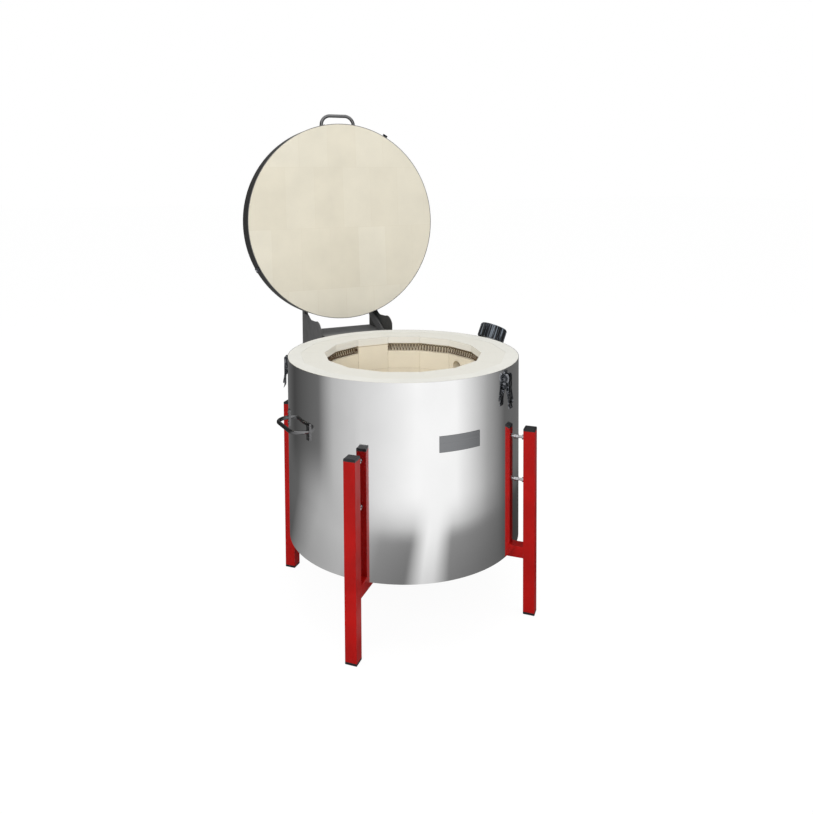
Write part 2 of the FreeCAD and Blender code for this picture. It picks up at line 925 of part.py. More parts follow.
SIDE_HANDLES = {"left": size["side_handle_azimuth"], "right": size["side_handle_azimuth"] + 180}
for place, azimuth in SIDE_HANDLES.items():
    handle = keep(bow_handle(
        f"side_handle_{place}", skin, size["side_handle_level"], size["side_handle_turn"],
        size["side_handle_reach"], size["side_handle_bend"], size["side_handle_rod"],
        size["flange_height"],
    ))
    face_azimuth(handle, azimuth)

rivet_start = skin + size["flange_sheet"]
rivets = []
for azimuth in SIDE_HANDLES.values():
    for end in (-1, 1):
        for step in (-0.5, 0.5):
            level = size["side_handle_level"].value + step * size["rivet_pitch"].value
            rivet = along_y(
                size["rivet_diameter"].value / 2,
                -(rivet_start + size["rivet_head"]).value,
                -rivet_start.value,
                0,
                level,
            )
            turn = end * size["side_handle_turn"].value
            rivets.append(turned(rivet, azimuth.value + turn))
group("handle_rivets", rivets)

# Blank name plate, rolled to the jacket

plate = keep(new_body("name_plate"))
plate_low = size["plate_level"] - size["plate_height"] / 2
plate_outline = new_sketch(plate, "plate_outline", "XY_Plane", plate_low)
plate_far = skin + size["plate_sheet"]
plate_half = arc_angle(size["plate_width"] / 2, skin)
add_path(plate_outline, [
    (-(plate_far * sine(plate_half)), -(plate_far * cosine(plate_half))),
    (plate_far * sine(plate_half), -(plate_far * cosine(plate_half)), plate_far),
    (skin * sine(plate_half), -(skin * cosine(plate_half))),
    (-(skin * sine(plate_half)), -(skin * cosine(plate_half)), -skin),
], True)
pad(plate, plate_outline, size["plate_height"])
face_azimuth(plate, size["plate_azimuth"])

# Over-centre latches: base with two ears, pin, lever and wire bail

pin_out = skin + size["latch_pin_out"]
pin_level = size["latch_top"] - size["latch_pin_drop"]
pin_radius = size["latch_pin_diameter"] / 2
base_low = size["latch_top"] - size["latch_base_height"]
half_ears = size["ear_spread"] / 2
half_lever = size["lever_width"] / 2
web_front = -(pin_out + size["hub_radius"])
web_back = web_front + size["lever_sheet"]
bail_out = pin_out - size["bail_inset"]
bail_level = pin_level - size["bail_drop"]
bail_radius = size["bail_wire"] / 2
half_bail = size["bail_width"] / 2
bail_start = half_lever - size["lever_sheet"]
LATCHES = {"left": size["left_latch_azimuth"], "right": size["right_latch_azimuth"]}


def latch_base(label):
    """A plate on the jacket with two ears that carry the pin between the lever's cheeks."""
    body = new_body(label)
    front = -skin - size["latch_sheet"]
    plate_sketch = new_sketch(body, f"{label}_plate", "XY_Plane", base_low)
    add_path(plate_sketch, rectangle(-half_ears, front, half_ears, -skin), True)
    pad(body, plate_sketch, size["latch_base_height"])
    for index, level in enumerate((base_low + 7, base_low + 19)):
        head = new_sketch(body, f"{label}_rivet{index}", "XZ_Plane", -front)
        add_circle(head, ZERO, level, size["rivet_diameter"] * 0.4)
        pad(body, head, size["rivet_head"] * 0.6)
    ear_radius = size["ear_radius"]
    for side, start in (("low", -half_ears), ("high", half_ears - size["latch_sheet"])):
        ear = new_sketch(body, f"{label}_{side}_ear", "YZ_Plane", start)
        add_path(ear, [
            (front, base_low + 8),
            (front, pin_level + ear_radius),
            (-pin_out, pin_level + ear_radius),
            (-pin_out - ear_radius, pin_level, ear_radius),
            (-pin_out, pin_level - ear_radius, ear_radius),
        ], True)
        pad(body, ear, size["latch_sheet"])
    bore = new_sketch(body, f"{label}_bore", "YZ_Plane")
    add_circle(bore, -pin_out, pin_level, pin_radius + size["pin_clearance"])
    pocket(body, bore, size["ear_spread"] * 2, side="Symmetric")
    return body


def latch_lever(label):
    """A pressed channel: a web that hangs before the pin, with cheeks for pin and bail."""
    body = new_body(label)
    hub = size["hub_radius"]
    cheek_back = -bail_out + hub
    cheek_end = pin_level - size["lever_length"] * 0.6
    cheek = new_sketch(body, f"{label}_cheeks", "YZ_Plane")
    add_path(cheek, [
        (web_front, pin_level),
        (-pin_out, pin_level + hub, -hub),
        (-pin_out + hub, pin_level, -hub),
        (cheek_back - 2, bail_level + 6),
        (cheek_back - 2, bail_level - 6),
        (web_back + 4, cheek_end),
        (web_front, cheek_end),
    ], True)
    pad(body, cheek, size["lever_width"], side="Symmetric")
    hollow = new_sketch(body, f"{label}_hollow", "YZ_Plane")
    hollow_top = pin_level + hub * 2
    add_path(hollow, rectangle(web_back, cheek_end - 5, cheek_back + 5, hollow_top), True)
    pocket(body, hollow, bail_start * 2, side="Symmetric")
    gap = new_sketch(body, f"{label}_gap", "YZ_Plane")
    add_path(gap, rectangle(web_front - 5, pin_level - 3, cheek_back + 5, hollow_top), True)
    pocket(body, gap, bail_start * 2, side="Symmetric")
    web = new_sketch(body, f"{label}_web", "YZ_Plane")
    tip_level = pin_level - size["lever_length"]
    tip_out = web_front - size["lever_curl"]
    curl = size["lever_length"] * 0.12
    add_path(web, [
        (web_front, cheek_end + 1),
        (web_front, tip_level + curl),
        (tip_out, tip_level, -(size["lever_length"] * 0.21)),
        (tip_out + size["lever_sheet"], tip_level),
        (web_back, tip_level + curl, size["lever_length"] * 0.185),
        (web_back, cheek_end + 1),
    ], True)
    pad(body, web, size["lever_width"], side="Symmetric")
    bores = new_sketch(body, f"{label}_bores", "YZ_Plane")
    add_circle(bores, -pin_out, pin_level, pin_radius + size["pin_clearance"])
    add_circle(bores, -bail_out, bail_level, bail_radius + size["pin_clearance"])
    pocket(body, bores, size["lever_width"] * 2, side="Symmetric")
    return body


def latch_bail(label):
    """A wire loop: its ends turn inwards into the lever, its bar reaches the lid's keeper."""
    body = new_body(label)
    bend = size["bail_wire"] * 0.6
    elbow = size["bail_wire"] * 1.15
    low = -size["bail_length"]
    path = new_sketch(body, f"{label}_path", "XZ_Plane")
    add_path(path, [
        (-bail_start, ZERO),
        (-half_bail + bend, ZERO),
        (-half_bail, -bend, bend),
        (-half_bail, low + elbow),
        (-half_bail + elbow, low, elbow),
        (half_bail - elbow, low),
        (half_bail, low + elbow, elbow),
        (half_bail, -bend),
        (half_bail - bend, ZERO, bend),
        (bail_start, ZERO),
    ], False)
    section = new_sketch(body, f"{label}_section", "YZ_Plane", -bail_start)
    add_circle(section, ZERO, ZERO, bail_radius)
    pipe(body, path, section)
    return body


bar_out = pin_out + size["hub_radius"] + bail_radius + size["fit_gap"]
bail_lean = math.degrees(math.asin(((bar_out - bail_out) / size["bail_length"]).value))
pins = []
for place, azimuth in LATCHES.items():
    face_azimuth(keep(latch_base(f"latch_base_{place}")), azimuth)
    face_azimuth(keep(latch_lever(f"latch_lever_{place}")), azimuth)
    bail = keep(latch_bail(f"latch_bail_{place}"))
    pivot = FreeCAD.Vector(0, -bail_out.value, bail_level.value)
    turn = FreeCAD.Rotation(UP, azimuth.value)
    lean = FreeCAD.Rotation(ALONG_X, -bail_lean)
    bail.Placement = FreeCAD.Placement(turn.multVec(pivot), turn.multiply(lean))
    start = FreeCAD.Vector(-half_lever.value, -pin_out.value, pin_level.value)
    pin = Part.makeCylinder(pin_radius.value, size["lever_width"].value, start, ALONG_X)
    pins.append(turned(pin, azimuth.value))
group("latch_pins", pins)

# Hinge plates: the terminal box's sides, which rise into ears and a horn that stops the lid

half_span = size["plate_span"] / 2
plate_inner = half_span - size["hinge_plate"]
shaft_radius = size["shaft_diameter"] / 2
box_front = chord_depth(skin, plate_inner)
swing_cosine = cosine(size["lid_swing"])
swing_sine = sine(size["lid_swing"])
lid_lean = tangent(size["lid_swing"] - 90)
lid_rise = lid_top - size["hinge_level"]
lid_back_y = size["hinge_reach"] - size["hinge_reach"] * swing_cosine + lid_rise * swing_sine
lid_back_z = size["hinge_level"] + size["hinge_reach"] * swing_sine + lid_rise * swing_cosine
stop_top = size["horn_top"] - 8
stop_front = lid_back_y - (lid_back_z - stop_top) * lid_lean + size["fit_gap"]
horn_front = stop_front + size["buffer_depth"]
box_back = horn_front + size["horn_width"]
for place, start in (("left", -half_span), ("right", plate_inner)):
    hinge_plate = keep(new_body(f"hinge_plate_{place}"))
    side_view = new_sketch(hinge_plate, f"side_view_{place}", "YZ_Plane", start)
    add_path(side_view, [
        (box_front, size["box_bottom"]),
        (box_back, size["box_bottom"]),
        (box_back, size["horn_top"] - 12),
        (box_back - 12, size["horn_top"], 12),
        (horn_front + 8, size["horn_top"]),
        (horn_front, size["horn_top"] - 8, 8),
        (horn_front, size["ear_step"] + 6),
        (horn_front - 6, size["ear_step"], -6),
        (size["ear_step_reach"], size["ear_step"]),
        (size["ear_dip_reach"], size["ear_dip"], -60),
        (size["ear_crest_reach"], size["ear_crest"]),
        (size["ear_front"], size["ear_corner"], 50),
        (size["ear_front"], size["ear_base"]),
        (size["ear_front"] - 16, size["shoulder_level"], -16),
        (box_front, size["shoulder_level"]),
    ], True)
    pad(hinge_plate, side_view, size["hinge_plate"])
    shaft_bore = new_sketch(hinge_plate, f"shaft_bore_{place}", "YZ_Plane")
    add_circle(shaft_bore, size["hinge_reach"], size["hinge_level"], shaft_radius + size["pin_clearance"])
    pocket(hinge_plate, shaft_bore, size["plate_span"] * 2, side="Symmetric")

shaft = keep(new_body("hinge_shaft"))
nut_start = half_span + size["fit_gap"] / 3
shaft_line = new_sketch(shaft, "shaft_line", "YZ_Plane")
add_circle(shaft_line, size["hinge_reach"], size["hinge_level"], shaft_radius)
pad(shaft, shaft_line, (nut_start + size["shaft_nut_height"] + 3) * 2, side="Symmetric")
shaft_corner = size["shaft_nut"] / 2 / Size(math.cos(math.radians(30)), "cos(30)")
for place, start in (("right", nut_start), ("left", -(nut_start + size["shaft_nut_height"]))):
    nut = new_sketch(shaft, f"shaft_nut_{place}", "YZ_Plane", start)
    corners = [(size["hinge_reach"] + x, size["hinge_level"] + y) for x, y in hexagon(shaft_corner)]
    add_path(nut, corners, True)
    pad(shaft, nut, size["shaft_nut_height"])

# Terminal box between the hinge plates: top tray, back cover, floor

inside = plate_inner - size["fit_gap"]
back_inner = box_back - size["box_sheet"]
tray = keep(new_body("box_top"))
fold = new_sketch(tray, "tray_fold", "YZ_Plane")
drop = size["raised_top"] - size["box_top"]
add_path(fold, [
    (chamber_radius, size["raised_top"]),
    (size["raised_end"], size["raised_top"]),
    (size["raised_end"] + drop, size["box_top"]),
    (box_back, size["box_top"]),
    (box_back, size["box_top"] - size["box_sheet"]),
    (size["raised_end"] + drop - 1, size["box_top"] - size["box_sheet"]),
    (size["raised_end"] - 1, size["raised_top"] - size["box_sheet"]),
    (chamber_radius, size["raised_top"] - size["box_sheet"]),
], True)
pad(tray, fold, inside * 2, side="Symmetric")
cutouts = new_sketch(tray, "tray_cutouts", "XY_Plane", size["horn_top"])
add_circle(cutouts, ZERO, ZERO, skin)
pocket(tray, cutouts, size["horn_top"] - size["box_bottom"])
for place, side in (("left", -1), ("right", 1)):
    notch = new_sketch(tray, f"arm_notch_{place}", "XY_Plane", size["horn_top"])
    inner_edge = (inside - size["notch_width"]) * side
    outer_edge = (inside + 5) * side
    low, high = (outer_edge, inner_edge) if side < 0 else (inner_edge, outer_edge)
    add_path(notch, rectangle(low, chamber_radius, high, size["notch_end"]), True)
    pocket(tray, notch, size["horn_top"] - size["box_bottom"])

skirt_front = chord_depth(skin, inside - size["notch_width"] - size["box_sheet"])
for place, side in (("left", -1), ("right", 1)):
    edge = inside - size["notch_width"]
    start = -edge if side < 0 else edge - size["box_sheet"]
    skirt = new_sketch(tray, f"tray_skirt_{place}", "YZ_Plane", start)
    skirt_low = size["hinge_level"] + shaft_radius + size["shaft_clearance"]
    skirt_top = size["raised_top"] - size["box_sheet"] / 2
    add_path(skirt, [
        (skirt_front, skirt_low),
        (size["notch_end"], skirt_low),
        (size["notch_end"], size["box_top"] - size["box_sheet"] / 2),
        (size["raised_end"] + drop, size["box_top"] - size["box_sheet"] / 2),
        (size["raised_end"], skirt_top),
        (skirt_front, skirt_top),
    ], True)
    pad(tray, skirt, size["box_sheet"])

back_cover = keep(new_body("box_back_cover"))
cover_level = size["box_bottom"]
cover_height = size["box_top"] - size["box_sheet"] - size["box_bottom"]
cover_plan = new_sketch(back_cover, "cover_plan", "XY_Plane", cover_level)
add_path(cover_plan, rectangle(-inside, back_inner, inside, box_back), True)
pad(back_cover, cover_plan, cover_height)
louvre = new_sketch(back_cover, "louvre", "XZ_Plane")
half_louvre = size["louvre_length"] / 2
louvre_round = size["louvre_height"] / 2
for centre in (-(half_louvre + 12), half_louvre + 12):
    low, high = centre - half_louvre, centre + half_louvre
    level = size["louvre_level"]
    add_path(louvre, [
        (high, level - louvre_round),
        (high, level + louvre_round, louvre_round + 0.001),
        (low, level + louvre_round),
        (low, level - louvre_round, louvre_round + 0.001),
    ], True)
first_louvre = pocket(back_cover, louvre, box_back + 5)
rows = back_cover.newObject("PartDesign::LinearPattern", "louvre_rows")
rows.Originals = [first_louvre]
rows.Direction = (louvre, ["V_Axis"])
rows.setExpression("Length", (size["louvre_pitch"] * (size["louvre_count"] - 1)).text)
rows.setExpression("Occurrences", size["louvre_count"].text)
back_cover.Tip = rows

box_floor = keep(new_body("box_floor"))
floor_plan = new_sketch(box_floor, "floor_plan", "XY_Plane", size["box_bottom"])
add_path(floor_plan, rectangle(-inside, chamber_radius, inside, back_inner), True)
pad(box_floor, floor_plan, size["box_sheet"])
floor_cut = new_sketch(box_floor, "floor_cut", "XY_Plane", size["box_bottom"] + size["box_sheet"])
gland_y = back_inner - size["gland_setback"]
add_circle(floor_cut, ZERO, ZERO, skin)
pocket(box_floor, floor_cut, size["box_sheet"] * 2)
gland_cut = new_sketch(box_floor, "gland_cut", "XY_Plane", size["box_bottom"] + size["box_sheet"])
add_circle(gland_cut, ZERO, gland_y, size["gland_hole"] / 2)
pocket(box_floor, gland_cut, size["box_sheet"] * 2)

# Cable gland in the box floor, with an open bore

gland = keep(new_body("cable_gland"))
gland_corner = size["gland_width"] / 2 / Size(math.cos(math.radians(30)), "cos(30)")
thread_radius = size["gland_hole"] / 2 - size["fit_gap"] / 2
box_base = size["box_bottom"]
for name, radius, low, high in (
    ("thread", thread_radius, box_base - 6, box_base + 10),
    ("dome", size["gland_width"] / 2 - 1, box_base - 24, box_base - 6),
):
    step = new_sketch(gland, f"gland_{name}", "XY_Plane", low)
    add_circle(step, ZERO, gland_y, radius)
    pad(gland, step, high - low)
for name, low in (("lower", box_base - 6), ("upper", box_base + size["box_sheet"])):
    step = new_sketch(gland, f"gland_{name}_nut", "XY_Plane", low)
    add_path(step, [(x, gland_y + y) for x, y in hexagon(gland_corner)], True)
    pad(gland, step, 6 if name == "lower" else 5)
gland_bore = new_sketch(gland, "gland_bore", "XY_Plane", box_base + 12)
add_circle(gland_bore, ZERO, gland_y, size["gland_hole"] * 0.3)
pocket(gland, gland_bore, 40)

# Screws of the back cover and rubber lid stops on the horns

screws = []
middle_level = (box_base + size["box_top"]).value / 2
screw_levels = (box_base.value + 30, middle_level, size["box_top"].value - 30)
for level in screw_levels:
    for side in (-1, 1):
        screws.append(along_y(
            size["screw_diameter"].value / 2,
            box_back.value,
            box_back.value + size["screw_head"].value,
            side * (inside.value - 12),
            level,
        ))
group("box_screws", screws)

# Lid, drawn closed and then swung open about the hinge shaft

open_y = size["hinge_reach"] - size["hinge_reach"] * swing_cosine - size["hinge_level"] * swing_sine
open_z = size["hinge_level"] + size["hinge_reach"] * swing_sine - size["hinge_level"] * swing_cosine


def swing_open(item):
    rotation = FreeCAD.Rotation(ALONG_X, -size["lid_swing"].value)
    base = FreeCAD.Vector(0, open_y.value, open_z.value)
    item.Placement = FreeCAD.Placement(base, rotation)
    item.setExpression("Placement.Base.y", open_y.text)
    item.setExpression("Placement.Base.z", open_z.text)
    return item


lid_slab = keep(new_body("lid_brick_slab"))
lid_disc = new_sketch(lid_slab, "lid_disc", "XY_Plane", lid_level)
add_circle(lid_disc, ZERO, ZERO, lid_radius)
pad(lid_slab, lid_disc, size["lid_brick"])
swing_open(lid_slab)

band = keep(new_body("lid_band"))
band_section = new_sketch(band, "band_section", "XZ_Plane")
add_path(band_section, [
    (band_inner, lid_level),
    (band_outer, lid_level),
    (band_outer, lid_top),
    (band_outer - size["lid_flange"], lid_top),
    (band_outer - size["lid_flange"], cover_top),
    (band_inner, cover_top),
], True)
revolve(band, band_section)
swing_open(band)

cover = keep(new_body("lid_cover"))
cover_disc = new_sketch(cover, "cover_disc", "XY_Plane", cover_base)
add_circle(cover_disc, ZERO, ZERO, lid_radius)
pad(cover, cover_disc, size["lid_cover"])
swing_open(cover)

lid_handle = keep(bow_handle(
    "lid_handle", band_outer, lid_level + size["lid_brick"] / 2, size["lid_handle_turn"],
    size["lid_handle_reach"], size["lid_handle_bend"], size["lid_handle_rod"],
    size["flange_height"] * 0.8,
))
swing_open(lid_handle)

keeper = new_body("latch_keeper")
keeper_low = lid_level + size["keeper_level"]
keeper_top = keeper_low + size["keeper_height"]
keeper_back = -band_outer
keeper_front = keeper_back - size["keeper_reach"]
hook = new_sketch(keeper, "keeper_hook", "YZ_Plane")
add_path(hook, [
    (keeper_back, keeper_low),
    (keeper_back, keeper_top),
    (keeper_back - size["keeper_sheet"], keeper_top),
    (keeper_back - size["keeper_sheet"], keeper_low + size["keeper_sheet"] * 2),
    (keeper_front + size["keeper_sheet"], keeper_low + size["keeper_sheet"] * 2),
    (keeper_front + size["keeper_sheet"], keeper_low + size["keeper_sheet"] * 4),
    (keeper_front, keeper_low + size["keeper_sheet"] * 4),
    (keeper_front, keeper_low + size["keeper_sheet"]),
    (keeper_back - size["keeper_sheet"], keeper_low + size["keeper_sheet"]),
    (keeper_back - size["keeper_sheet"], keeper_low),
], True)
pad(keeper, hook, size["keeper_width"], side="Symmetric")
doc.recompute()
keepers = group("lid_keepers", [turned(keeper.Shape, azimuth.value) for azimuth in LATCHES.values()])
swing_open(keepers)

# Lid arms: flat bars on edge, from the cover over the band down to the shaft

arm_outer = plate_inner - size["arm_inset"]
arm_start = arm_outer - size["arm_sheet"]
arm_edge = chord_depth(band_outer, arm_start)
arm_behind = arm_edge + size["arm_clearance"]
arm_step = chord_depth(band_outer - size["lid_flange"], arm_outer) - 2
arm_crest = lid_top + size["arm_depth"]
arm_front = arm_edge - size["arm_length"]
hub = size["arm_hub"]
lean_cosine = cosine(size["arm_lean"])
lean_sine = sine(size["arm_lean"])
hub_y = hub * lean_cosine
hub_z = hub * lean_sine
bend_run = size["arm_bend"] * tangent((90 - size["arm_lean"]) / 2)
corner_y = size["hinge_reach"] + hub_y - (arm_crest - size["hinge_level"] - hub_z) * tangent(size["arm_lean"])
foot_end = arm_step - 6
arm_screws = []
for place, side in (("left", -1), ("right", 1)):
    arm = keep(new_body(f"hinge_arm_{place}"))
    start = arm_start if side > 0 else -arm_outer
    bar = new_sketch(arm, f"arm_bar_{place}", "YZ_Plane", start)
    add_path(bar, [
        (arm_front, cover_top),
        (arm_step, cover_top),
        (arm_step, lid_top),
        (arm_behind, lid_top),
        (size["hinge_reach"] - hub_y, size["hinge_level"] - hub_z),
        (size["hinge_reach"] + hub_y, size["hinge_level"] + hub_z, hub + 0.001),
        (corner_y + bend_run * lean_sine, arm_crest - bend_run * lean_cosine),
        (corner_y - bend_run, arm_crest, size["arm_bend"]),
        (arm_front + 16, arm_crest),
        (arm_front, arm_crest - 12),
    ], True)
    pad(arm, bar, size["arm_sheet"])
    foot_start = arm_start - size["arm_foot"] if side > 0 else -arm_start
    foot_plan = new_sketch(arm, f"arm_foot_{place}", "YZ_Plane", foot_start)
    foot_top = cover_top + size["arm_foot_sheet"]
    add_path(foot_plan, rectangle(arm_front + 8, cover_top, foot_end, foot_top), True)
    pad(arm, foot_plan, size["arm_foot"])
    arm_bore = new_sketch(arm, f"arm_bore_{place}", "YZ_Plane")
    bore_size = shaft_radius + size["pin_clearance"]
    add_circle(arm_bore, size["hinge_reach"], size["hinge_level"], bore_size)
    pocket(arm, arm_bore, size["plate_span"] * 2, side="Symmetric")
    swing_open(arm)
    for step in (0.1, 0.5, 0.9):
        run = arm_front.value + 8 + step * (foot_end - arm_front - 8).value
        centre = side * (arm_start - size["arm_foot"] / 2).value
        head = FreeCAD.Vector(centre, run, foot_top.value)
        arm_screws.append(Part.makeCylinder(size["arm_screw"].value / 2, size["arm_screw_head"].value, head))
swing_open(group("arm_screws", arm_screws))

# Rubber stops on the horns, just clear of the open lid

doc.recompute()
stops = []
for side in (-1, 1):
    width = size["buffer_width"].value
    start = side * (plate_inner - 1).value - (width if side < 0 else 0)
    corner = FreeCAD.Vector(start, stop_front.value, (stop_top - size["buffer_height"]).value)
    depth = size["buffer_depth"].value
    stops.append(Part.makeBox(width, depth, size["buffer_height"].value, corner))
group("lid_stops", stops)

# Vent: ceramic liner in the wall, slanted pipe on the jacket, ribbed cap that turns on it

liner_tube = Part.makeCylinder(
    liner_radius.value,
    (jacket_radius - chamber_radius).value,
    FreeCAD.Vector(0, -chamber_radius.value, size["vent_level"].value),
    FreeCAD.Vector(0, -1, 0),
)
liner_bore = Part.makeCylinder(
    vent_radius.value,
    jacket_radius.value * 2,
    FreeCAD.Vector(0, 0, size["vent_level"].value),
    FreeCAD.Vector(0, -1, 0),
)
group("vent_liner", [turned(liner_tube.cut(liner_bore), size["vent_azimuth"].value)])

tilt = FreeCAD.Rotation(ALONG_X, size["vent_tilt"].value)
around = FreeCAD.Rotation(UP, size["vent_azimuth"].value)
half_cap = size["vent_cap_height"] / 2
cap_half_width = size["vent_cap_diameter"] / 2 * cosine(size["vent_tilt"])
cap_lean = half_cap * sine(size["vent_tilt"])
vent_reach = band_outer + size["vent_clearance"] + cap_half_width + cap_lean
cap_centre = FreeCAD.Vector(0, -vent_reach.value, size["vent_cap_level"].value)
cap_foot = cap_centre - tilt.multVec(UP) * half_cap.value
cap_place = FreeCAD.Placement(around.multVec(cap_foot), around.multiply(tilt))
pipe_radius = size["vent_pipe"] / 2
pipe_inner = pipe_radius - size["vent_pipe_wall"]
pipe_top = size["vent_cap_height"] - size["vent_cap_wall"] - size["fit_gap"]


def port_circles(sketch):
    for index in range(int(size["port_count"].value)):
        angle = index * 360 / size["port_count"]
        ring_radius = size["port_circle"] / 2
        add_circle(sketch, ring_radius * cosine(angle), ring_radius * sine(angle), size["port_diameter"] / 2)


stub = new_body("vent_stub")
stub_length = vent_reach - jacket_inner + size["vent_pipe"] * 3
stub_ring = new_sketch(stub, "stub_ring", "XY_Plane", -stub_length)
add_circle(stub_ring, ZERO, ZERO, pipe_radius)
pad(stub, stub_ring, stub_length + pipe_top)
stub_hollow = new_sketch(stub, "stub_hollow", "XY_Plane", pipe_top - size["vent_cap_wall"])
add_circle(stub_hollow, ZERO, ZERO, pipe_inner)
pocket(stub, stub_hollow, stub_length * 2)
stub_ports = new_sketch(stub, "stub_ports", "XY_Plane", pipe_top + 1)
port_circles(stub_ports)
pocket(stub, stub_ports, size["vent_cap_wall"] * 2)
doc.recompute()
vent_pipe = stub.Shape.copy()
vent_pipe.Placement = cap_place
stub_core = Part.makeCylinder(pipe_radius.value, stub_length.value, FreeCAD.Vector(), -UP)
stub_core.Placement = cap_place
kiln_side = Part.makeCylinder(skin.value, rim_level.value * 2)
below_foot = Part.makeCylinder(jacket_radius.value * 2, size["vent_foot"].value)
foot_layer = Part.makeCylinder(jacket_radius.value * 2, size["vent_pipe_wall"].value)
foot_layer.translate(FreeCAD.Vector(0, 0, size["vent_foot"].value))
foot_plate = stub_core.common(foot_layer)
outside = vent_pipe.cut(below_foot).fuse(foot_plate).cut(kiln_side).removeSplitter()
vent_solid = max(outside.Solids, key=lambda solid: solid.CenterOfMass.z)
group("vent_pipe", [vent_solid])

vent_cap = keep(new_body("vent_cap"))
cap_radius = size["vent_cap_diameter"] / 2 - size["rib_height"]
cap_disc = new_sketch(vent_cap, "cap_disc", "XY_Plane")
add_circle(cap_disc, ZERO, ZERO, cap_radius)
pad(vent_cap, cap_disc, size["vent_cap_height"])
bevel(vent_cap, size["vent_cap_height"], size["rib_height"])
rib = new_sketch(vent_cap, "cap_rib", "XY_Plane", as_size(2))
half_rib = size["rib_width"] / 2
rib_root = cap_radius - 1
rib_tip = cap_radius + size["rib_height"]
add_path(rib, [
    (-half_rib, -rib_root),
    (-half_rib * 0.45, -rib_tip),
    (half_rib * 0.45, -rib_tip),
    (half_rib, -rib_root),
], True)
rib_pad = pad(vent_cap, rib, size["vent_cap_height"] - 6)
repeat_round(vent_cap, rib_pad, size["rib_count"])
socket = new_sketch(vent_cap, "cap_socket", "XY_Plane", size["vent_cap_height"] - size["vent_cap_wall"])
add_circle(socket, ZERO, ZERO, pipe_radius + size["turn_clearance"])
pocket(vent_cap, socket, size["vent_cap_height"])
groove = new_sketch(vent_cap, "cap_hollow", "XY_Plane", size["vent_cap_height"] - size["vent_cap_wall"] * 2)
add_circle(groove, ZERO, ZERO, cap_radius - size["vent_cap_wall"])
add_circle(groove, ZERO, ZERO, pipe_radius + size["vent_cap_wall"])
pocket(vent_cap, groove, size["vent_cap_height"])
cap_ports = new_sketch(vent_cap, "cap_ports", "XY_Plane", size["vent_cap_height"] + 1)
port_circles(cap_ports)
pocket(vent_cap, cap_ports, size["vent_cap_wall"] + 2)
vent_cap.Placement = cap_place

# Check every object, then write one file for each piece

doc.recompute()
faults = []
for item in doc.Objects:
    if "Invalid" in item.State or "Error" in item.State:
        faults.append(f"{item.Label}: {item.State}")
for item in parts:
    if item.Shape.isNull() or not item.Shape.isValid():
        faults.append(f"{item.Label}: no valid shape")
if faults:
    raise RuntimeError("; ".join(faults))

os.makedirs("parts", exist_ok=True)
for item in parts:
    item.Shape.exportStep(f"parts/{item.Label}.step")
print(len(parts), "pieces")
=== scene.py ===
import json
import math

import bpy
import numpy as np
from mathutils import Matrix, Vector


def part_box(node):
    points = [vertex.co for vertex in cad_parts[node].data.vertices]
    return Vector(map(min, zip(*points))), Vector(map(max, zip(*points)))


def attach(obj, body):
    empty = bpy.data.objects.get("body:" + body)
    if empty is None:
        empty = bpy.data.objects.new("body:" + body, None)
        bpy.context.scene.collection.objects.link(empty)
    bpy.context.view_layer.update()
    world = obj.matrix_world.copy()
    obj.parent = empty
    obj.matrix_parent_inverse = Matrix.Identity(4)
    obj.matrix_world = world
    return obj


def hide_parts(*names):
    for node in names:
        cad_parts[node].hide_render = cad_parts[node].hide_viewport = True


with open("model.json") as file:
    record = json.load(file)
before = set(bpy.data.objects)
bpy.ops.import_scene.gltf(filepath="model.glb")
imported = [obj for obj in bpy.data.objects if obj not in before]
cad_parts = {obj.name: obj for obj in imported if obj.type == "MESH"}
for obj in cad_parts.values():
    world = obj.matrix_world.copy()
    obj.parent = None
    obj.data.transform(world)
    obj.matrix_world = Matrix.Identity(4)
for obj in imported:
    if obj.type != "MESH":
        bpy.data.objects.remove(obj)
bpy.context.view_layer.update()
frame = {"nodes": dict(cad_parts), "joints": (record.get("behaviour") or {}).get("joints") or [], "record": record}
NODES = frame["nodes"]
scene = bpy.context.scene

FACETS = 14
FACET_ANGLE = 360 / FACETS
SLOT_CLEARANCE = 0.0015
SLOT_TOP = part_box("heating_coil_4")[1].z + SLOT_CLEARANCE
RIM_LEVEL = max(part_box("brick_course_4")[1].z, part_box("wall_insulation")[1].z)
CAP_AXIS = next(joint["axis"] for joint in frame["joints"] if joint["name"] == "vent_cap_turn")


# Shader helpers

BEVEL_SAMPLES = 4
# The mix node's sockets for colours, which have the same names as those for numbers
FIRST_COLOR, SECOND_COLOR, MIXED_COLOR = 6, 7, 2


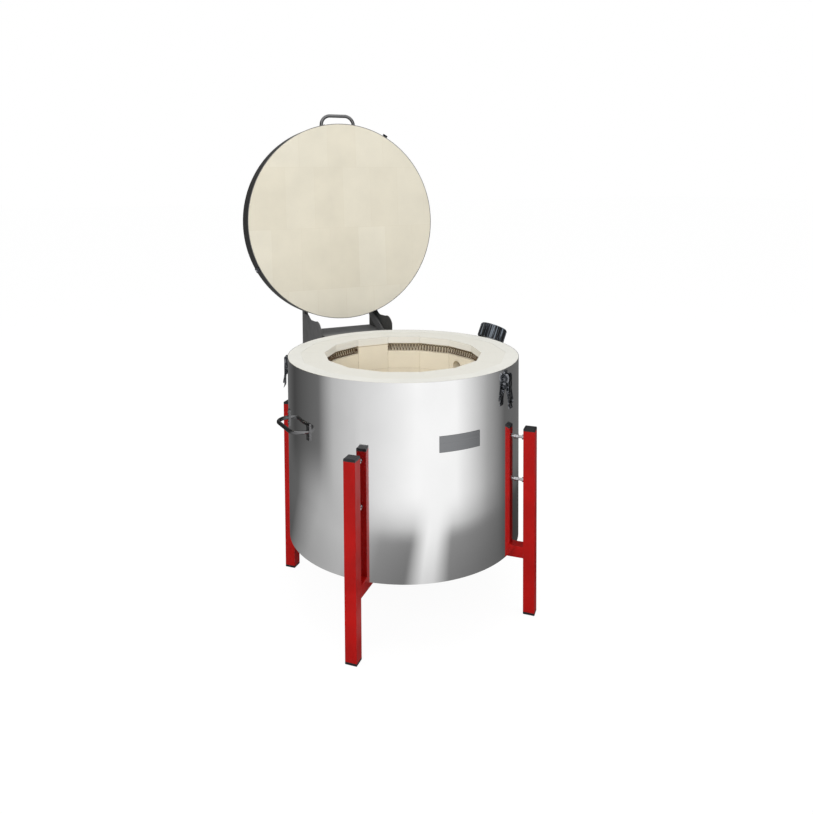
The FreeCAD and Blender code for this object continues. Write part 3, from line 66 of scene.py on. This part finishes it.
class Graph:
    """The nodes of a material or of the world, with short ways to add more of them.

    An input takes either a plain value or another node's output."""

    def __init__(self, tree):
        self.nodes = tree.nodes
        self.links = tree.links

    def feed(self, socket, source):
        if hasattr(source, "is_output"):
            self.links.new(source, socket)
        else:
            socket.default_value = source

    def add(self, kind, **inputs):
        """Inputs are named as on the node, with an underscore for each space."""
        node = self.nodes.new(kind)
        for name, source in inputs.items():
            self.feed(node.inputs[name.replace("_", " ")], source)
        return node

    def ramp(self, source, *stops):
        """Stops are (position, (r, g, b))."""
        node = self.add("ShaderNodeValToRGB", Fac=source)
        band = node.color_ramp
        while len(band.elements) < len(stops):
            band.elements.new(0.5)
        for element, (position, color) in zip(band.elements, stops):
            element.position = position
            element.color = (*color, 1)
        return node.outputs["Color"]

    def span(self, source, low, high, start=0.0, end=1.0, interpolation="LINEAR"):
        """From start at the source's low value to end at its high value, and level beyond."""
        node = self.add(
            "ShaderNodeMapRange", Value=source, From_Min=low, From_Max=high, To_Min=start, To_Max=end,
        )
        node.interpolation_type = interpolation
        return node.outputs["Result"]

    def math(self, operation, first, second=0.0):
        node = self.nodes.new("ShaderNodeMath")
        node.operation = operation
        self.feed(node.inputs[0], first)
        self.feed(node.inputs[1], second)
        return node.outputs["Value"]

    def vector_math(self, operation, first, second):
        node = self.nodes.new("ShaderNodeVectorMath")
        node.operation = operation
        self.feed(node.inputs[0], first)
        self.feed(node.inputs["Scale" if operation == "SCALE" else 1], second)
        return node.outputs

    def mix(self, factor, first, second, blend="MIX"):
        """Colours, as outputs or as (r, g, b)."""
        node = self.add("ShaderNodeMix", Factor=factor)
        node.data_type = "RGBA"
        node.blend_type = blend
        for socket, source in ((FIRST_COLOR, first), (SECOND_COLOR, second)):
            self.feed(node.inputs[socket], (*source, 1) if isinstance(source, tuple) else source)
        return node.outputs[MIXED_COLOR]

    def split(self, vector):
        return self.add("ShaderNodeSeparateXYZ", Vector=vector).outputs

    def seen_directly(self):
        """1 for what the camera sees, itself or in a surface, and 0 for light on other pieces."""
        path = self.nodes.new("ShaderNodeLightPath").outputs
        mirrored = self.math("MAXIMUM", path["Is Glossy Ray"], path["Is Transmission Ray"])
        return self.math("MAXIMUM", path["Is Camera Ray"], mirrored)


class Shader(Graph):
    """A material with a Principled surface, whose textures are measured in metres on the piece."""

    def __init__(self, name, color, roughness, metallic=0.0, specular=0.5):
        self.material = bpy.data.materials.new(name)
        self.material.use_nodes = True
        super().__init__(self.material.node_tree)
        self.surface = self.nodes["Principled BSDF"].inputs
        self.surface["Base Color"].default_value = (*color, 1)
        self.surface["Roughness"].default_value = roughness
        self.surface["Metallic"].default_value = metallic
        self.surface["Specular IOR Level"].default_value = specular
        self.place = self.nodes.new("ShaderNodeTexCoord").outputs["Object"]

    def noise(self, scale, detail=3.0, roughness=0.5, stretch=(1, 1, 1), place=None):
        mapping = self.add("ShaderNodeMapping", Scale=stretch, Vector=place or self.place)
        node = self.add(
            "ShaderNodeTexNoise", Scale=scale, Detail=detail, Roughness=roughness,
            Vector=mapping.outputs["Vector"],
        )
        return node.outputs["Fac"]

    def drawn_out(self, axis, share):
        """The place, with its measure along the axis cut by the share: textures run along it."""
        along = self.vector_math("DOT_PRODUCT", self.place, axis)["Value"]
        cut = self.vector_math("SCALE", axis, self.math("MULTIPLY", along, share))["Vector"]
        return self.vector_math("SUBTRACT", self.place, cut)["Vector"]

    def rounded_normal(self, radius):
        bevel = self.add("ShaderNodeBevel", Radius=radius)
        bevel.samples = BEVEL_SAMPLES
        return bevel.outputs["Normal"]

    def edges(self, radius):
        """1 on a rounded or sharp edge, 0 on a flat face."""
        normal = self.nodes.new("ShaderNodeNewGeometry").outputs["Normal"]
        likeness = self.vector_math("DOT_PRODUCT", self.rounded_normal(radius), normal)["Value"]
        return self.span(likeness, 0.995, 0.9)

    def clouded(self, pattern, color, dark, light, limits=(0.3, 0.7)):
        """The colour, between its dark and its light share as the pattern goes."""
        return self.ramp(pattern, (limits[0], tint(color, dark)), (limits[1], tint(color, light)))

    def color(self, source):
        self.feed(self.surface["Base Color"], source)

    def uneven(self, pattern, roughness, least, most):
        """Roughness between its least and its most share as the pattern goes."""
        rough = self.span(pattern, 0.3, 0.7, roughness * least, roughness * most)
        self.feed(self.surface["Roughness"], rough)

    def bump(self, height, strength, distance, rounding=None):
        """The last step of each material, which is returned."""
        node = self.add("ShaderNodeBump", Strength=strength, Distance=distance, Height=height)
        if rounding:
            self.feed(node.inputs["Normal"], self.rounded_normal(rounding))
        self.feed(self.surface["Normal"], node.outputs["Normal"])
        return self.material


def tint(color, factor):
    return tuple(min(1.0, channel * factor) for channel in color)


# Materials

JOINT_BROWN = (0.42, 0.33, 0.22)
# Painted tones of the wall: a shadow line at the top edge of the groove, and the paler, lit wall above it.
SLOT_SHADOW_BROWN = (0.40, 0.30, 0.19)
LIT_LIP_CREAM = (0.90, 0.885, 0.82)
GLINT_WHITE = (0.86, 0.88, 0.93)


def patches(shader, base, plane, length, height):
    """Thin joints between bricks that lie in one slab, and a slightly other tone for some of them."""
    x, y, z = shader.split(shader.place)
    across = shader.nodes.new("ShaderNodeCombineXYZ")
    shader.feed(across.inputs["X"], x)
    shader.feed(across.inputs["Y"], z if plane == "XZ" else y)
    tiles = shader.add(
        "ShaderNodeTexBrick", Vector=across.outputs["Vector"], Scale=1, Brick_Width=length,
        Row_Height=height, Mortar_Size=0.0006, Mortar_Smooth=0.3, Color1=(1, 1, 1, 1),
        Color2=(0.955, 0.945, 0.925, 1), Mortar=(0.93, 0.91, 0.88, 1),
    )
    return shader.mix(1.0, base, tiles.outputs["Color"], "MULTIPLY")


def wall_marks(shader, base, sealed):
    """Brown joints, a brown line over the top element that is a painted shadow at the groove's top edge, a paler
    lip above it that is painted light, and the sealed top.
    """
    height = shader.split(shader.place)[2]
    base = shader.mix(shader.math("MULTIPLY", shader.edges(0.0014), 0.75), base, JOINT_BROWN)
    # Painted shadow: a brown line along the top edge of the groove, over the top element.
    line = shader.math("ABSOLUTE", shader.math("SUBTRACT", height, SLOT_TOP))
    base = shader.mix(shader.span(line, 0.0008, 0.0014, 0.8, 0.0), base, SLOT_SHADOW_BROWN)
    # Painted light: the wall above the groove is paler, as where it is more brightly lit.
    base = shader.mix(shader.span(height, SLOT_TOP + 0.001, SLOT_TOP + 0.004), base, LIT_LIP_CREAM)
    return shader.mix(shader.span(height, RIM_LEVEL - 0.0012, RIM_LEVEL - 0.0004), base, sealed)


def brick_material(name, color, plane=None, patch=None, sealed=None):
    """Insulating firebrick: chalky, clouded, with dark specks and fine pores.

    Patch is the length and height of the bricks in a slab that lies in the plane. Sealed is the
    tone of the top of the wall."""
    shader = Shader(name, color, 0.92, specular=0.15)
    base = shader.clouded(shader.noise(9, 4), color, 0.955, 1.03)
    if patch:
        base = patches(shader, base, plane, *patch)
    if sealed:
        base = wall_marks(shader, base, sealed)
    specks = shader.span(shader.noise(420, 2, 0.6), 0.62, 0.75, 0.0, 0.35)
    shader.color(shader.mix(specks, base, tint(color, 0.78)))
    return shader.bump(shader.noise(950, 3, 0.7), 0.35, 0.0006)


def fibre_material(name, color):
    """Backup insulation, which shows as the outer ring of the wall's top."""
    shader = Shader(name, color, 0.9, specular=0.15)
    base = shader.clouded(shader.noise(14, 4), color, 0.97, 1.02)
    fibre = shader.noise(260, 4, 0.65, stretch=(1, 1, 0.35))
    shader.color(shader.mix(shader.span(fibre, 0.55, 0.75, 0.0, 0.2), base, tint(color, 0.86)))
    return shader.bump(fibre, 0.3, 0.0008)


def polished_material(name, color, roughness, stretch, wave):
    """Bright sheet steel with the faint lines of its rolling and a slight wave."""
    shader = Shader(name, color, roughness, metallic=1.0)
    lines = shader.noise(60, 3, 0.6, stretch=stretch)
    shader.uneven(lines, roughness, 0.75, 1.3)
    shader.color(shader.clouded(shader.noise(5, 3), color, 0.97, 1.02, limits=(0.35, 0.65)))
    return shader.bump(shader.mix(wave, lines, shader.noise(3.2, 1)), 0.06, 0.0003)


def brushed_material(
    name, color, roughness, scale=500, stretch=(1, 1, 1), edge_shine_share=0.5, shine=1.35, glints=0.0,
):
    """Metal fittings, whose edges take another tone, which is shine times the colour: a painted
    highlight where shine is above one, and darker edges where it is below one.

    Glints are painted highlights: bright spots between darker ones."""
    shader = Shader(name, color, roughness, metallic=1.0)
    grain = shader.noise(scale, 3, 0.6, stretch=stretch)
    base = shader.clouded(grain, color, 0.9, 1.06)
    # Painted highlight on the edges: they take shine times the colour, which is darker where shine is below one.
    edge_wear_and_shine = shader.math("MULTIPLY", shader.edges(0.0008), edge_shine_share)
    base = shader.mix(edge_wear_and_shine, base, tint(color, shine))
    if glints:
        # Painted glints: bright spots of highlight.
        base = shader.mix(shader.span(shader.noise(95, 2), 0.52, 0.62, 0.0, glints), base, GLINT_WHITE)
    shader.color(base)
    shader.uneven(grain, roughness, 0.8, 1.25)
    return shader.bump(grain, 0.1, 0.0002, rounding=0.0006)


def enamel_material(name, color, roughness, texture=0.05, edge_wear_and_shine=0.3, specular=0.5):
    """Sprayed paint with orange peel and thin edges, whose scuffed edges take a grey tone: partly wear and partly
    a painted highlight.
    """
    shader = Shader(name, color, roughness, specular=specular)
    base = shader.clouded(shader.noise(11, 4), color, 0.86, 1.1)
    scuffs = shader.span(shader.noise(70, 4), 0.5, 0.68, 0.0, 0.6)
    # Grey scuffs on the edges: partly wear, partly a painted highlight along them.
    scuffed_lit_edges = shader.math("MULTIPLY", shader.edges(0.0009), scuffs)
    shader.color(shader.mix(scuffed_lit_edges, base, (edge_wear_and_shine, edge_wear_and_shine, edge_wear_and_shine)))
    shader.uneven(shader.noise(30, 4), roughness, 0.85, 1.2)
    return shader.bump(shader.noise(330, 2), texture, 0.0008, rounding=0.0012)


def plastic_material(name, color, roughness, shine=None):
    """Moulded plastic with a fine eroded grain, and bright lines along the vent cap that are painted highlights.
    """
    shader = Shader(name, color, roughness, specular=0.25)
    base = shader.clouded(shader.noise(25, 3), color, 0.8, 1.3)
    if shine:
        # Painted highlights: bright streaks that run along the cap's axis.
        highlight_streaks = shader.noise(210, 1, place=shader.drawn_out(CAP_AXIS, 0.95))
        base = shader.mix(shader.span(highlight_streaks, 0.52, 0.64, 0.0, 0.45), base, shine)
    shader.color(base)
    grain = shader.noise(1100, 2)
    shader.uneven(grain, roughness, 0.85, 1.15)
    return shader.bump(grain, 0.15, 0.0003, rounding=0.0008)


def wire_material(name, color):
    """Heating alloy with its dark oxide skin."""
    shader = Shader(name, color, 0.62, metallic=0.35)
    skin = shader.noise(300, 4, 0.7)
    shader.color(shader.ramp(skin, (0.3, tint(color, 0.6)), (0.55, color), (0.75, tint(color, 1.9))))
    return shader.bump(skin, 0.3, 0.0003)


LOOKS = {
    "brick": brick_material("wall_brick", (0.90, 0.83, 0.68), sealed=(0.70, 0.69, 0.635)),
    # The lid slab is the wall's firebrick in a darker tone: painted shade on the lid.
    "lid_brick": brick_material("lid_brick", (0.755, 0.715, 0.60), plane="XZ", patch=(0.114, 0.23)),
    "floor_brick": brick_material("floor_brick", (0.86, 0.79, 0.64), plane="XY", patch=(0.23, 0.114)),
    "white_ceramic": brick_material("white_ceramic", (0.87, 0.80, 0.66)),
    "insulation": fibre_material("rim_fibre", (0.72, 0.715, 0.67)),
    "jacket_steel": polished_material(
        "jacket_steel", (0.93, 0.93, 0.93), 0.075, stretch=(0.5, 0.5, 12), wave=0.5,
    ),
    # The brushed steels' edges are painted lighter by their shine, as highlights, and the plate metal's edges are
    # darker, as its shine is below one. The latch's glints are painted highlights.
    "bright_steel": brushed_material("bright_steel", (0.58, 0.58, 0.60), 0.2),
    "handle_steel": brushed_material(
        "handle_steel", (0.22, 0.22, 0.225), 0.12, edge_shine_share=0.4, shine=3,
    ),
    "latch_steel": brushed_material(
        "latch_steel", (0.045, 0.048, 0.054), 0.12, edge_shine_share=0.5, shine=12, glints=0.32,
    ),
    "band_steel": brushed_material("band_steel", (0.24, 0.24, 0.235), 0.38, scale=90),
    "pan_steel": brushed_material(
        "pan_steel", (0.55, 0.55, 0.55), 0.35, scale=60, stretch=(1, 12, 1),
    ),
    "plate_metal": brushed_material(
        "plate_metal", (0.25, 0.255, 0.265), 0.34, scale=220, stretch=(0.05, 0.05, 1),
        edge_shine_share=0.8, shine=0.35,
    ),
    # The box top's lighter enamel is painted light, and the right hinge plate's near-black enamel is painted
    # shade.
    "tray_enamel": enamel_material("tray_enamel", (0.19, 0.19, 0.19), 0.4, texture=0.2),
    "shaded_enamel": enamel_material(
        "shaded_enamel", (0.05, 0.05, 0.048), 0.45, texture=0.2, edge_wear_and_shine=0.15,
    ),
    "grey_bracket": enamel_material("bracket_enamel", (0.115, 0.115, 0.115), 0.45, texture=0.2),
    "red_paint": enamel_material("red_enamel", (0.41, 0.004, 0.003), 0.34, specular=0.13),
    "black_plastic": plastic_material("black_plastic", (0.018, 0.018, 0.02), 0.4),
    # The cap's shine is the tone of its painted highlight streaks.
    "cap_plastic": plastic_material(
        "cap_plastic", (0.008, 0.009, 0.011), 0.2, shine=(0.42, 0.48, 0.56),
    ),
    "rubber": plastic_material("buffer_rubber", (0.02, 0.02, 0.02), 0.7),
    "element_wire": wire_material("element_wire", (0.20, 0.13, 0.08)),
}

# Looks that differ from the one of the piece's slot, by the start of its name
SPECIAL = {
    "lid_brick_slab": "lid_brick",
    "floor_brick_slab": "floor_brick",
    # The box top and the right hinge plate take other tones than their slots: painted light on the box top and
    # painted shade on the right plate.
    "box_top": "tray_enamel",
    "hinge_plate_right": "shaded_enamel",
    "vent_cap": "cap_plastic",
    "side_handle": "handle_steel",
    "lid_handle": "handle_steel",
    "handle_rivets": "handle_steel",
    "latch_": "latch_steel",
    "lid_keepers": "latch_steel",
}
slots = {item["node"]: item["material_slot"] for item in frame["record"]["subparts"]}
for name, node in NODES.items():
    special = [look for start, look in SPECIAL.items() if name.startswith(start)]
    node.data.materials.clear()
    node.data.materials.append(LOOKS[special[0] if special else slots[name]])


# Heating elements

COIL_TRACK = 0.2585
COIL_END_GAP = 0.0045
COIL_PITCH = 0.0108
CORNER_BLEND = 0.014
STEPS_PER_TURN = 14
WIRE_RADIUS = 0.00125
WIRE_SIDES = 5


def new_piece(name, vertices, faces, material):
    mesh = bpy.data.meshes.new(name)
    mesh.from_pydata(vertices, [], faces)
    mesh.materials.append(material)
    piece = bpy.data.objects.new(name, mesh)
    scene.collection.objects.link(piece)
    return piece


def swept_tube(points, radius, sides):
    """Vertices and faces of a round wire along the points."""
    along = np.gradient(points, axis=0)
    along /= np.linalg.norm(along, axis=1)[:, None]
    side = np.cross(along, (0.0, 0.0, 1.0))
    length = np.linalg.norm(side, axis=1)[:, None]
    side = np.where(length > 1e-3, side / np.maximum(length, 1e-9), (1.0, 0.0, 0.0))
    up = np.cross(side, along)
    angles = np.arange(sides) * 2 * math.pi / sides
    cosines, sines = np.cos(angles)[None, :, None], np.sin(angles)[None, :, None]
    ring = cosines * side[:, None, :] + sines * up[:, None, :]
    vertices = (points[:, None, :] + radius * ring).reshape(-1, 3)
    faces = []
    for row in range(len(points) - 1):
        low, high = row * sides, (row + 1) * sides
        for index in range(sides):
            after = (index + 1) % sides
            faces.append((low + index, low + after, high + after, high + index))
    last = (len(points) - 1) * sides
    faces.append(tuple(range(sides - 1, -1, -1)))
    faces.append(tuple(range(last, last + sides)))
    return vertices.tolist(), faces


def coil_line(level, wind_radius):
    """The line of an element's wire: a helix that runs round the chamber from facet to facet.

    It leaves out the facet at the back, and turns to the next facet's direction over the length
    CORNER_BLEND at each corner."""
    corner_radius = COIL_TRACK / math.cos(math.radians(FACET_ANGLE / 2))
    azimuths = np.radians((np.arange(FACETS) + 0.5) * FACET_ANGLE + 180)
    corners = np.stack([corner_radius * np.sin(azimuths), -corner_radius * np.cos(azimuths)], axis=1)
    run = np.linalg.norm(corners[1] - corners[0])
    total = run * (FACETS - 1)
    count = int((total - 2 * COIL_END_GAP) / COIL_PITCH * STEPS_PER_TURN)
    distance = np.linspace(COIL_END_GAP, total - COIL_END_GAP, count)
    index = np.minimum((distance / run).astype(int), FACETS - 2)
    share = distance / run - index
    centre = corners[index] + (corners[index + 1] - corners[index]) * share[:, None]
    near_end = np.clip(1 - (1 - share) * run / CORNER_BLEND, 0, 1) * (index < FACETS - 2)
    near_start = np.clip(1 - share * run / CORNER_BLEND, 0, 1) * (index > 0)
    turned = index + 1 + (near_end - near_start) / 2
    facing = np.radians(turned * FACET_ANGLE + 180)
    outward = np.stack([np.sin(facing), -np.cos(facing)], axis=1)
    winding = distance / COIL_PITCH * 2 * math.pi
    line = np.empty((count, 3))
    line[:, :2] = centre + wind_radius * np.cos(winding)[:, None] * outward
    line[:, 2] = level + wind_radius * np.sin(winding)
    return line


def add_element(name, node):
    """A wound wire in place of the plain bar that stands for it in the CAD."""
    low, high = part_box(node)
    wind_radius = (high.z - low.z) / 2 - WIRE_RADIUS
    line = coil_line((low.z + high.z) / 2, wind_radius)
    vertices, faces = swept_tube(line, WIRE_RADIUS, WIRE_SIDES)
    piece = new_piece(name, vertices, faces, LOOKS["element_wire"])
    piece.data.polygons.foreach_set("use_smooth", [True] * len(piece.data.polygons))
    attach(piece, "stand")
    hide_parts(node)


for course in range(1, 5):
    add_element(f"element_{course}", f"heating_coil_{course}")


# Studio

# Grey cards all round and on the floor, seen only in reflections, as in a photographer's tent: a
# broad bright panel in front, dark gaps at both sides, and a strip of light on the floor.
# Each stop is an azimuth in degrees from the front and a tone.
WALL_TONES = (
    (-180, 0.18), (-140, 0.06), (-100, 0.14), (-84, 0.48), (-15, 1.0), (18, 0.98), (50, 0.38),
    (74, 0.12), (180, 0.18),
)
FLOOR_TONES = (
    (-180, 0.10), (-140, 0.12), (-105, 0.42), (-70, 0.56), (-45, 0.28), (-22, 0.22), (-10, 0.92),
    (-2, 0.86), (10, 0.26), (60, 0.15), (80, 0.05), (180, 0.10),
)
CARD_RADIUS = 1.15
CARD_HEIGHT = 2.2
CARD_LEVEL = 0.0012
WALL_SIDES = 96
DISC_SIDES = 72
# Lengths along the cards are measured outwards on the floor and then up the wall, from their corner.
# The floor tones turn by LEAN radians for each metre of it, and lie as listed LEAN_CENTRE inside it.
LEAN = 0.35
LEAN_CENTRE = 0.25
BLEND_LENGTHS = (-0.14, 0.13)
LEFT_LIFT = 0.15
LEFT_AZIMUTHS = (-95, -60)
NEAR_LENGTHS = (-0.4, -0.1)
NEAR_STRENGTH = 0.8

FLOOR_SIZE = 80.0
FLOOR_GLOW = 0.94
FLOOR_LIT = 0.80
FLOOR_SHADOW = 0.09
SKY_SEEN = 1.0
SKY_LIGHT = 0.62


def blank_material(name):
    material = bpy.data.materials.new(name)
    material.use_nodes = True
    material.node_tree.nodes.clear()
    return material, Graph(material.node_tree)


def card_material():
    """Wall tones that pass over softly into the floor tones, higher up on the left, and a floor
    that is dimmer near the kiln."""
    material, graph = blank_material("card_tones")

    def tones(azimuth, stops):
        share = graph.span(azimuth, -math.pi, math.pi)
        return graph.ramp(share, *(((place + 180) / 360, (tone, tone, tone)) for place, tone in stops))

    x, y, z = graph.split(graph.nodes.new("ShaderNodeTexCoord").outputs["Object"])
    azimuth = graph.math("ARCTAN2", x, graph.math("MULTIPLY", y, -1.0))
    squares = graph.math("ADD", graph.math("POWER", x, 2.0), graph.math("POWER", y, 2.0))
    outward = graph.math("SUBTRACT", graph.math("POWER", squares, 0.5), CARD_RADIUS)
    along = graph.math("ADD", z, outward)
    lean = graph.math("MULTIPLY", graph.math("ADD", along, LEAN_CENTRE), LEAN)
    leaning = graph.math("SUBTRACT", azimuth, lean)
    lift = graph.span(azimuth, *map(math.radians, LEFT_AZIMUTHS), LEFT_LIFT, 0.0)
    lowered = graph.math("SUBTRACT", along, lift)
    rise = graph.span(lowered, *BLEND_LENGTHS, interpolation="SMOOTHSTEP")
    glow = graph.add(
        "ShaderNodeEmission",
        Color=graph.mix(rise, tones(leaning, FLOOR_TONES), tones(azimuth, WALL_TONES)),
        Strength=graph.span(along, *NEAR_LENGTHS, NEAR_STRENGTH, 1.0),
    )
    graph.add("ShaderNodeOutputMaterial", Surface=glow.outputs["Emission"])
    return material


def floor_material():
    """White to the eye, and it keeps part of the shadow."""
    material, graph = blank_material("studio_floor")
    glow = graph.nodes.new("ShaderNodeEmission")
    glow.inputs["Strength"].default_value = FLOOR_GLOW
    faint = graph.nodes.new("ShaderNodeBsdfDiffuse")
    faint.inputs["Color"].default_value = (FLOOR_SHADOW, FLOOR_SHADOW, FLOOR_SHADOW, 1)
    plain = graph.nodes.new("ShaderNodeBsdfDiffuse")
    plain.inputs["Color"].default_value = (FLOOR_LIT, FLOOR_LIT, FLOOR_LIT, 1)
    both = graph.nodes.new("ShaderNodeAddShader")
    graph.feed(both.inputs[0], glow.outputs["Emission"])
    graph.feed(both.inputs[1], faint.outputs["BSDF"])
    choice = graph.add("ShaderNodeMixShader", Fac=graph.seen_directly())
    graph.feed(choice.inputs[1], plain.outputs["BSDF"])
    graph.feed(choice.inputs[2], both.outputs["Shader"])
    graph.add("ShaderNodeOutputMaterial", Surface=choice.outputs["Shader"])
    return material


def circle(radius, level, sides):
    angles = [2 * math.pi * index / sides for index in range(sides)]
    return [(radius * math.sin(angle), -radius * math.cos(angle), level) for angle in angles]


def add_stage(name, vertices, faces, material):
    piece = new_piece(name, vertices, faces, material)
    return piece


def add_card(name, vertices, faces, material):
    """A stage piece that only reflections see."""
    piece = add_stage(name, vertices, faces, material)
    piece.visible_camera = False
    piece.visible_diffuse = False
    piece.visible_shadow = False
    piece.visible_transmission = False


def add_cards():
    card = card_material()
    rings = circle(CARD_RADIUS, 0.0, WALL_SIDES) + circle(CARD_RADIUS, CARD_HEIGHT, WALL_SIDES)
    walls = []
    for index in range(WALL_SIDES):
        after = (index + 1) % WALL_SIDES
        walls.append((index, after, after + WALL_SIDES, index + WALL_SIDES))
    add_card("reflection_cards", rings, walls, card)
    disc = circle(CARD_RADIUS, CARD_LEVEL, DISC_SIDES)
    add_card("reflection_floor", disc, [tuple(range(DISC_SIDES))], card)


def add_floor():
    half = FLOOR_SIZE / 2
    corners = [(-half, -half, 0), (half, -half, 0), (half, half, 0), (-half, half, 0)]
    add_stage("studio_floor", corners, [(0, 1, 2, 3)], floor_material())


def add_world():
    """White where it is seen or reflected, and a softer level as light."""
    world = bpy.data.worlds.new("studio")
    scene.world = world
    world.use_nodes = True
    world.node_tree.nodes.clear()
    graph = Graph(world.node_tree)
    sky = graph.nodes.new("ShaderNodeBackground")
    sky.inputs["Color"].default_value = (1, 1, 1, 1)
    graph.feed(sky.inputs["Strength"], graph.span(graph.seen_directly(), 0, 1, SKY_LIGHT, SKY_SEEN))
    graph.add("ShaderNodeOutputWorld", Surface=sky.outputs["Background"])


def add_lamp(name, place, aim_level, size, watts):
    lamp = bpy.data.lights.new(name, "AREA")
    lamp.shape = "RECTANGLE"
    lamp.size, lamp.size_y = size
    lamp.energy = watts
    piece = bpy.data.objects.new(name, lamp)
    piece.location = place
    aim = Vector((0, 0, aim_level)) - Vector(place)
    piece.rotation_euler = aim.to_track_quat("-Z", "Y").to_euler()
    piece.visible_camera = False
    piece.visible_glossy = False
    scene.collection.objects.link(piece)


add_cards()
add_floor()
add_world()
add_lamp("key", (-4.0, -4.2, 3.6), aim_level=0.7, size=(3.6, 3.2), watts=150)
add_lamp("fill", (2.8, -2.4, 2.2), aim_level=0.7, size=(2.4, 2.0), watts=12)
add_lamp("top", (0, -0.4, 4.2), aim_level=0.5, size=(3.0, 3.0), watts=46)


# Camera at the photograph's place

CAMERA_PLACE = (-1.0143, -2.188, 1.3329)
HEADING = math.radians(23.88)
DOWN = math.radians(2.88)
ROLL = math.radians(0.38)
LENS = 33.468
SENSOR = 36
SHIFT = (0.02158, -0.2330)


def add_camera():
    forward = Vector((
        math.sin(HEADING) * math.cos(DOWN),
        math.cos(HEADING) * math.cos(DOWN),
        -math.sin(DOWN),
    ))
    level_right = Vector((math.cos(HEADING), -math.sin(HEADING), 0))
    level_up = level_right.cross(forward)
    right = level_right * math.cos(ROLL) - level_up * math.sin(ROLL)
    up = right.cross(forward)
    data = bpy.data.cameras.new("camera")
    data.lens = LENS
    data.sensor_width = SENSOR
    data.shift_x, data.shift_y = SHIFT
    camera = bpy.data.objects.new("camera", data)
    turned = Matrix((right, up, -forward)).transposed().to_4x4()
    camera.matrix_world = Matrix.Translation(CAMERA_PLACE) @ turned
    scene.collection.objects.link(camera)
    scene.camera = camera


add_camera()
scene.view_settings.view_transform = "Standard"
